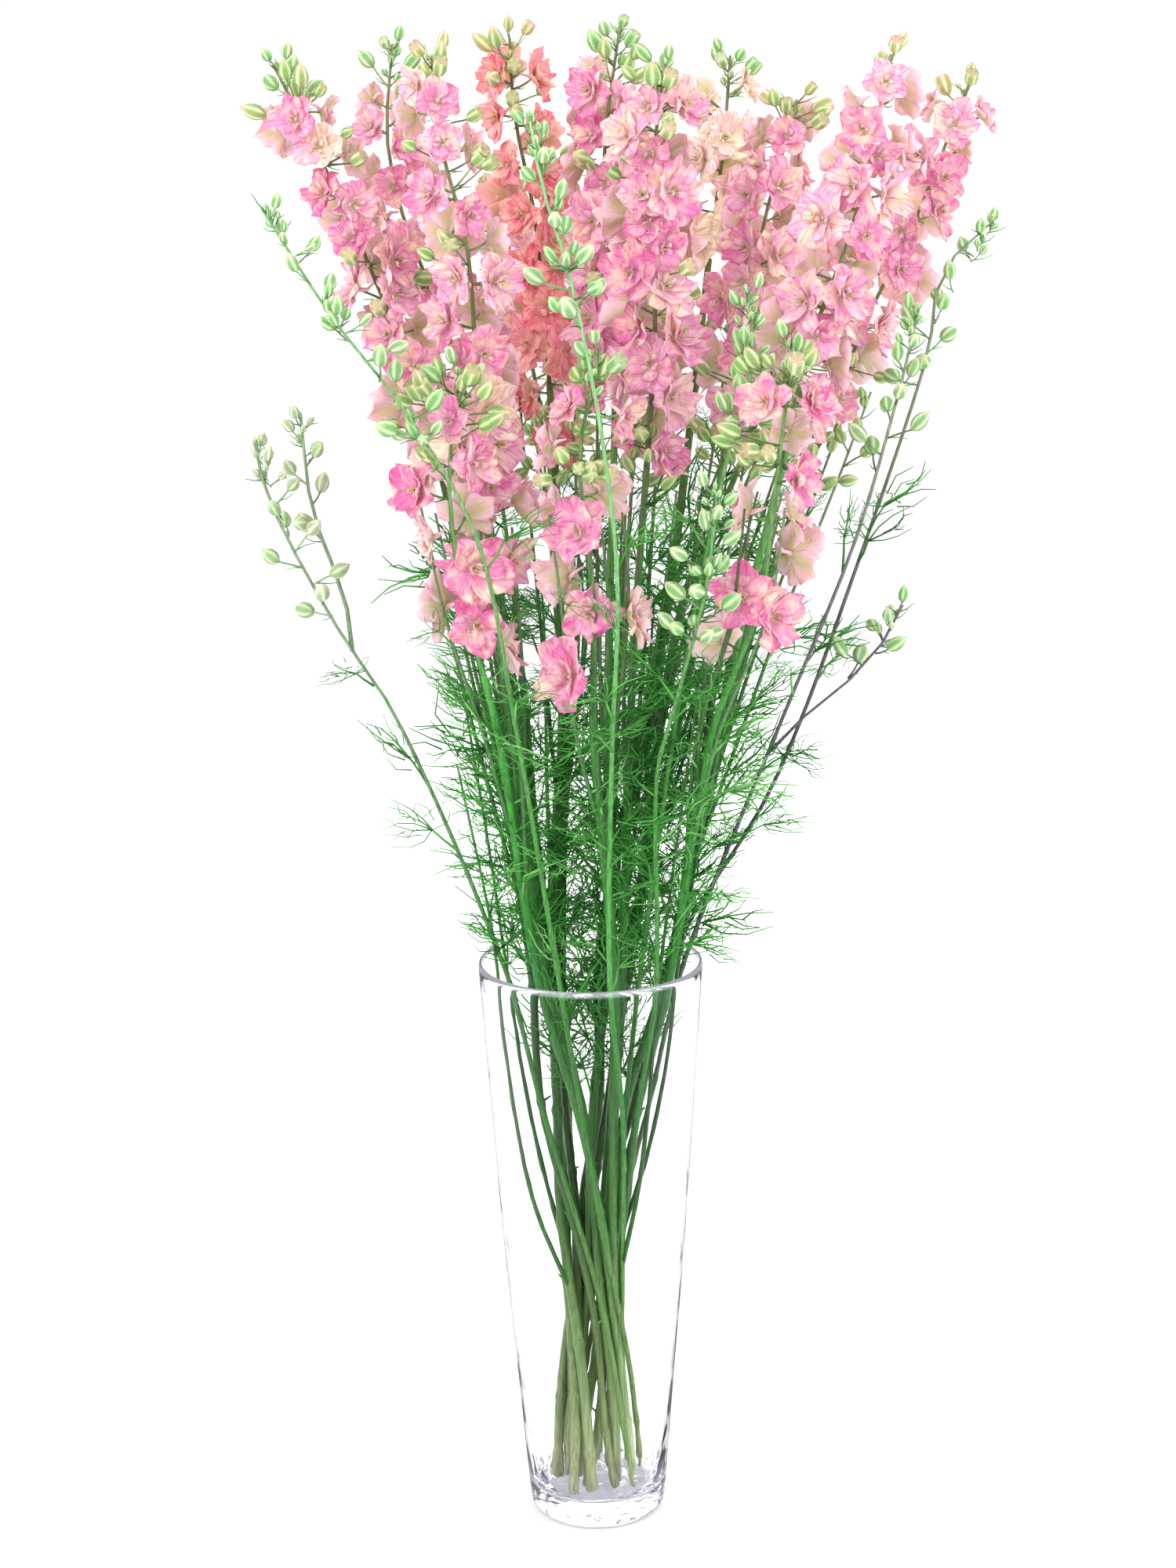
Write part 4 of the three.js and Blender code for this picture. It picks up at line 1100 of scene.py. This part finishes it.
def bud_finish(name, margin, stripe, blushed):
    """Folded green sepals: a darker stripe down each, pale margins and a tinted point."""
    finish, tree = new_finish(name, Roughness=0.5, Subsurface_Weight=0.15, Subsurface_Scale=0.002)
    sheet, parts = pattern_sheet(tree)
    band = add_map(tree, add_math(tree, "PINGPONG", parts["X"], 0.1), 0.005, 0.06)
    point = add_map(tree, parts["Y"], 0.62, 0.95, 0.0, 0.75)
    folded = add_mix(tree, band, colour(margin), colour(stripe))
    base = add_mix(tree, point, folded, colour(blushed))
    patches = add_noise(tree, object_place(tree), (300, 300, 300))
    mottle = add_mix(tree, patches, (0.8, 0.84, 0.78, 1), (1.15, 1.12, 1.15, 1))
    leaning = add_mix(tree, own_tone(tree), (0.82, 0.95, 0.75, 1), (1.12, 1.0, 1.05, 1))
    paint(tree, Base_Color=add_product(tree, add_product(tree, base, mottle), leaning),
          Normal=add_bump(tree, patches, 0.2, 0.0005))
    return finish


green_bud = bud_finish("green_bud", "#dcebc8", "#83b576", "#dfe8c4")
soft_bud = bud_finish("soft_bud", "#dde6d0", "#a0b98f", "#e2e6cf")
olive_bud = bud_finish("olive_bud", "#dde8bf", "#8fb26c", "#e3cfae")
blushing_bud = bud_finish("blushing_bud", "#f0e8c4", "#b0b676", "#f2c6c4")
late_bud = bud_finish("late_bud", "#e0eac2", "#8eb268", "#e8cbb0")


def bud_pattern(open_share):
    """A bud a unit long on Z and a unit in half width, of five folds; open_share flares it."""
    bm = new_growth()
    made = bmesh.ops.create_uvsphere(bm, u_segments=10, v_segments=6, radius=1, calc_uvs=True)
    for vert in made["verts"]:
        angle = math.atan2(vert.co.y, vert.co.x)
        along = math.acos(max(-1, min(1, -vert.co.z))) / math.pi
        ridge = math.cos(5 * angle)
        girth = math.sin(math.pi * along**0.85) ** 0.8 if 0 < along < 1 else 0
        girth *= 1 + 0.09 * ridge
        flare = open_share * max(0, along - 0.5) * 2
        girth = mix(girth, 1.35 + 0.35 * ridge, flare) if along < 0.99 else 0
        vert.co.x = math.cos(angle) * girth
        vert.co.y = math.sin(angle) * girth
        vert.co.z = along + flare * (0.28 * ridge - 0.1 if along < 0.99 else -0.6)
    set_faces(bm, made["verts"], BUD, 0.5)
    return as_pattern(bm, "bud")


closed_bud = bud_pattern(0.0)
opening_bud = bud_pattern(0.75)


def bud_plan(root, draw, size, turn, lift, reach=1.0):
    """Where a bud stands and points, and how long it is."""
    azimuth = turn + (draw() - 0.5) * 0.8
    rise = mix(lift - 0.35, lift + 0.3, draw())
    stalk = mix(9, 17, draw()) * size * reach
    base = root + direction(azimuth, rise) * stalk
    axis = direction(azimuth, rise + mix(-0.1, 0.5, draw()))
    return SimpleNamespace(root=root, base=base, axis=axis, size=size,
                           length=BUD_LENGTH * size * mix(0.85, 1.15, draw()))


def bud_variants(stem, k, root, kind, size, turn, lift):
    """The places that one bud of the solid may have taken."""
    draw = stream(kind, stem.index, k)
    for _ in range(TRIES):
        yield bud_plan(root, draw, size, turn + (draw() - 0.5), lift)


def grow_bud(bm, plan, draw, pattern):
    grow_stalk(bm, plan.root, plan.base, 0.65 * math.sqrt(plan.size), draw)
    side, other = cross_axes(plan.axis, draw() * math.tau)
    turned = Matrix((side, other, plan.axis)).transposed().to_4x4()
    girth = BUD_RADIUS * plan.size
    stretch = Matrix.Diagonal((girth, girth, plan.length, 1))
    lay(bm, pattern, Matrix.Translation(plan.base - plan.axis) @ turned @ stretch, draw())


def middle_of(bud):
    return bud.base + bud.axis * (bud.length / 2)


def grow_buds(bm, stem, course, corners, start, end, count, kind, lift, opening=0):
    """The buds of the solid from one height to another; gives back where they are."""
    placed = []
    for k in range(count):
        t = (k + 0.3) / count
        root = course(mix(start, end, t))
        plans = bud_variants(stem, k, root, kind, mix(1.1, 0.62, t),
                             stem.index + k * GOLDEN_ANGLE, mix(lift, 1.15, t))
        plan = as_built(corners, plans, lambda p: p.base + p.axis * p.length)
        if plan:
            draw = stream(41 + kind, stem.index, k)
            opens = opening and draw() < opening * (1 - 0.5 * t)
            grow_bud(bm, plan, draw, opening_bud if opens else closed_bud)
            placed.append(middle_of(plan))
    return placed


def grow_spare_buds(bm, stem, course, start, end, count, kind, lift, placed):
    """Further closed buds on the same stretch, wherever there is room for one."""
    for k in range(count):
        draw = stream(67 + kind, stem.index, k)
        for _ in range(FILL_TRIES):
            t = draw()
            size = mix(0.95, 0.55, t) * mix(0.8, 1, draw())
            plan = bud_plan(course(mix(start, end, t)), draw, size, draw() * math.tau,
                            mix(lift, 1.15, t))
            if all((middle_of(plan) - other).length > 11 * size for other in placed):
                placed.append(middle_of(plan))
                grow_bud(bm, plan, draw, closed_bud)
                break


def grow_crown(bm, stem, course, top, count, kind):
    """The smallest buds, crowded round the very tip of a stem."""
    for k in range(count):
        draw = stream(53 + kind, stem.index, k)
        t = k / count
        root = course(top - mix(26, 1, t))
        plan = bud_plan(root, draw, mix(0.5, 0.3, t), k * GOLDEN_ANGLE, mix(0.7, 1.3, t))
        grow_bud(bm, plan, draw, closed_bud)


# Spikes that are open almost to the top carry half-open, tinted buds there.
BLUSHING = {"03", "04", "08", "09", "10"}
for stem in flowering:
    start, top = stem.open[1], stem.top
    bm = new_growth()
    grow_stem(bm, stem.course, lambda z: stem_radius(stem, z) * SPIKE_GIRTH, start, top, [],
              stem.tone, 6)
    course = straight_runs(stem.course, heights_between(start + JOINT_GAP, top, 30))
    bud, opening = (blushing_bud, 0.8) if stem.id in BLUSHING else (green_bud, 0.35)
    grow_buds(bm, stem, course, corners_of(f"tip_{stem.id}"), start + 5, top - 1, stem.buds, 2,
              0.5, opening)
    grow_crown(bm, stem, course, top, 5, 2)
    finish_piece(bm, f"spike_tip_{stem.id}", [green_stem, leaf_green, bud], f"tip_{stem.id}",
                 "budgreen")

# ---------------------------------------------------- side shoots and late buds
# Thin grey-green side shoots rise beside the stems, with a few small leaves and a loose head of
# olive buds. Later buds, some half open, hang on thin stalks between the open florets.

SHOOTS_EACH = 4
SHOOT_LEAVES = 3
SHOOT_BUDS = 5
BUDS_ABOVE = 690
LATE_BUDS_EACH = 15
LATE_BELOW = 70
LATE_LOWEST = 675

# Shoots that leave a stem low in the vase and bow out along the glass: the stem they grow
# from, counted from the first flowering stem, the height they leave it at and their path.
BOWED_SHOOTS = [
    (1, 150, [(-36, -12, 205), (-47, -14, 262), (-54, -18, 325), (-60, -24, 395), (-78, -34, 500)]),
    (13, 170, [(-32, 8, 225), (-44, 12, 290), (-52, 16, 350), (-62, 24, 430), (-78, 34, 540)]),
    (17, 165, [(28, -18, 222), (35, -24, 285), (40, -30, 350), (50, -38, 430), (66, -50, 550)]),
    (19, 190, [(34, -6, 240), (46, -10, 300), (53, -14, 360), (66, -20, 440), (84, -28, 560)]),
]

shoot_green = stem_finish("shoot_green", [
    (0.0, "#4c8735"), (0.3, "#2c6e2a"), (0.42, "#3c8436"), (0.55, "#5f8a58"), (0.65, "#7d8a6c"),
    (0.8, "#8b9a68")], 0.45)


def grow_shoot(bm, course, start, end, leafy_from, draw):
    """A side shoot along a course, with small leaves and, if it ends high, a head of buds."""
    grow_stem(bm, course, lambda z: mix(1.6, 0.75, (z - start) / (end - start)), start, end, [],
              draw(), 5)
    for n in range(SHOOT_LEAVES):
        t = (n + 0.5) / SHOOT_LEAVES
        root = course(mix(leafy_from, end - 40, t))
        grow_leaf(bm, leaf_plan(root, draw, draw() * math.tau, mix(0.6, 0.4, t), 0.2), draw)
    for n in range(SHOOT_BUDS if end > BUDS_ABOVE else 0):
        t = n / SHOOT_BUDS
        plan = bud_plan(course(mix(end - 45, end - 1, t)), draw, mix(0.9, 0.5, t),
                        n * GOLDEN_ANGLE, mix(0.5, 1.2, t))
        grow_bud(bm, plan, draw, closed_bud)


bm = new_growth()
for stem in flowering:
    for k in range(SHOOTS_EACH):
        draw = stream(61, stem.index, k)
        start = mix(390, 480, draw())
        end = min(start + mix(180, 300, draw()), stem.top - 90)
        aside = direction(draw() * math.tau, 0) * mix(10, 26, draw())

        def beside(z):
            t = (z - start) / (end - start)
            return stem.course(z) + aside * (1 - (1 - t) ** 2)

        grow_shoot(bm, beside, start, end, start, draw)
for k, (parent, start, path) in enumerate(BOWED_SHOOTS):
    bowed = curve_through([tuple(stems[parent].course(start))] + path)
    grow_shoot(bm, bowed, start, path[-1][2], RIM_HEIGHT + 20, stream(79, k, 0))
finish_piece(bm, "side_shoots", [shoot_green, leaf_green, olive_bud], None, "green")

bm = new_growth()
for stem in flowering:
    low, high = stem.open
    for k in range(LATE_BUDS_EACH):
        draw = stream(73, stem.index, k)
        plans = []
        for _ in range(FILL_TRIES):
            root = stem.course(mix(max(low - LATE_BELOW, LATE_LOWEST), high, draw()))
            turn = draw() * math.tau if k % 2 else FRONT + (draw() - 0.5) * 2
            plans.append(bud_plan(root, draw, mix(0.65, 1.05, draw()), turn,
                                  mix(0.1, 0.9, draw()), 1.6))
        plan = max(plans, key=lambda p: room_at(middle_of(p), 0, 0.55))
        grow_bud(bm, plan, draw, opening_bud if draw() < 0.45 else closed_bud)
finish_piece(bm, "late_buds", [green_stem, leaf_green, late_bud], None, "budgreen")

# ------------------------------------------------------------- the bud stems
# Seven thin stems that carry only closed buds, two of them with a side branch. They are a
# lighter green in front, by their paler paint and by painted light from their tone; the two that
# lean far out to the right are mauve-grey.

GREEN_FOOT = [(0.0, "#cfd8a6"), (0.05, "#84a860"), (0.25, "#3f8a38")]
pale_stem = stem_finish("pale_stem", GREEN_FOOT + [
    (0.5, "#55994c"), (0.7, "#7fae76"), (1.0, "#97bf8e")], 0.42)
grey_stem = stem_finish("grey_stem", GREEN_FOOT + [
    (0.45, "#5b8f58"), (0.6, "#8fa78a"), (1.0, "#a9bca3")], 0.45)
mauve_stem = stem_finish("mauve_stem", [
    (0.0, "#cfd8a6"), (0.05, "#7f9860"), (0.3, "#4b6a4c"), (0.42, "#55555f"), (0.6, "#77707a"),
    (0.72, "#8a9a80"), (1.0, "#93c08f")], 0.45)

for stem in budding:
    node = f"bud_stem_{stem.id}"
    skin = {"01": grey_stem, "06": mauve_stem, "07": mauve_stem}.get(stem.id, pale_stem)
    bud = soft_bud if stem.id == "01" else green_bud
    first, count = stem.buds
    bm = new_growth()
    grow_stem(bm, stem.course, lambda z: stem_radius(stem, z), FLOOR_HEIGHT, stem.top,
              joint_heights(stem, first), stem.tone, 7)
    corners = corners_of(node)
    course = straight_runs(stem.course, low_heights(stem.top))
    placed = grow_buds(bm, stem, course, corners, first, stem.top - 1, count, 4, 0.35)
    if stem.id in ("02", "03", "04", "05"):
        grow_spare_buds(bm, stem, course, first - 10, stem.top - 20, count, 4, 0.35, placed)
    grow_crown(bm, stem, course, stem.top, 8, 4)
    if stem.branch:
        start, path, (side_first, side_count) = stem.branch
        side_course = curve_through([tuple(stem.course(start))] + path)
        top = path[-1][2]
        grow_stem(bm, side_course, lambda z: mix(1.5, 0.9, (z - start) / (top - start)),
                  start, top, [], stem.tone, 6)
        runs = straight_runs(side_course, heights_between(start, top, 30))
        grow_buds(bm, stem, runs, corners, side_first, top - 1, side_count, 5, 0.35)
        grow_crown(bm, stem, runs, top, 5, 5)
    grow_leaves(bm, stem, node, 400, first - 10, LEAF_SPACING * 2, 0.8)
    finish_piece(bm, f"bud_spray_{stem.id}", [skin, leaf_green, bud], node, "budgreen")
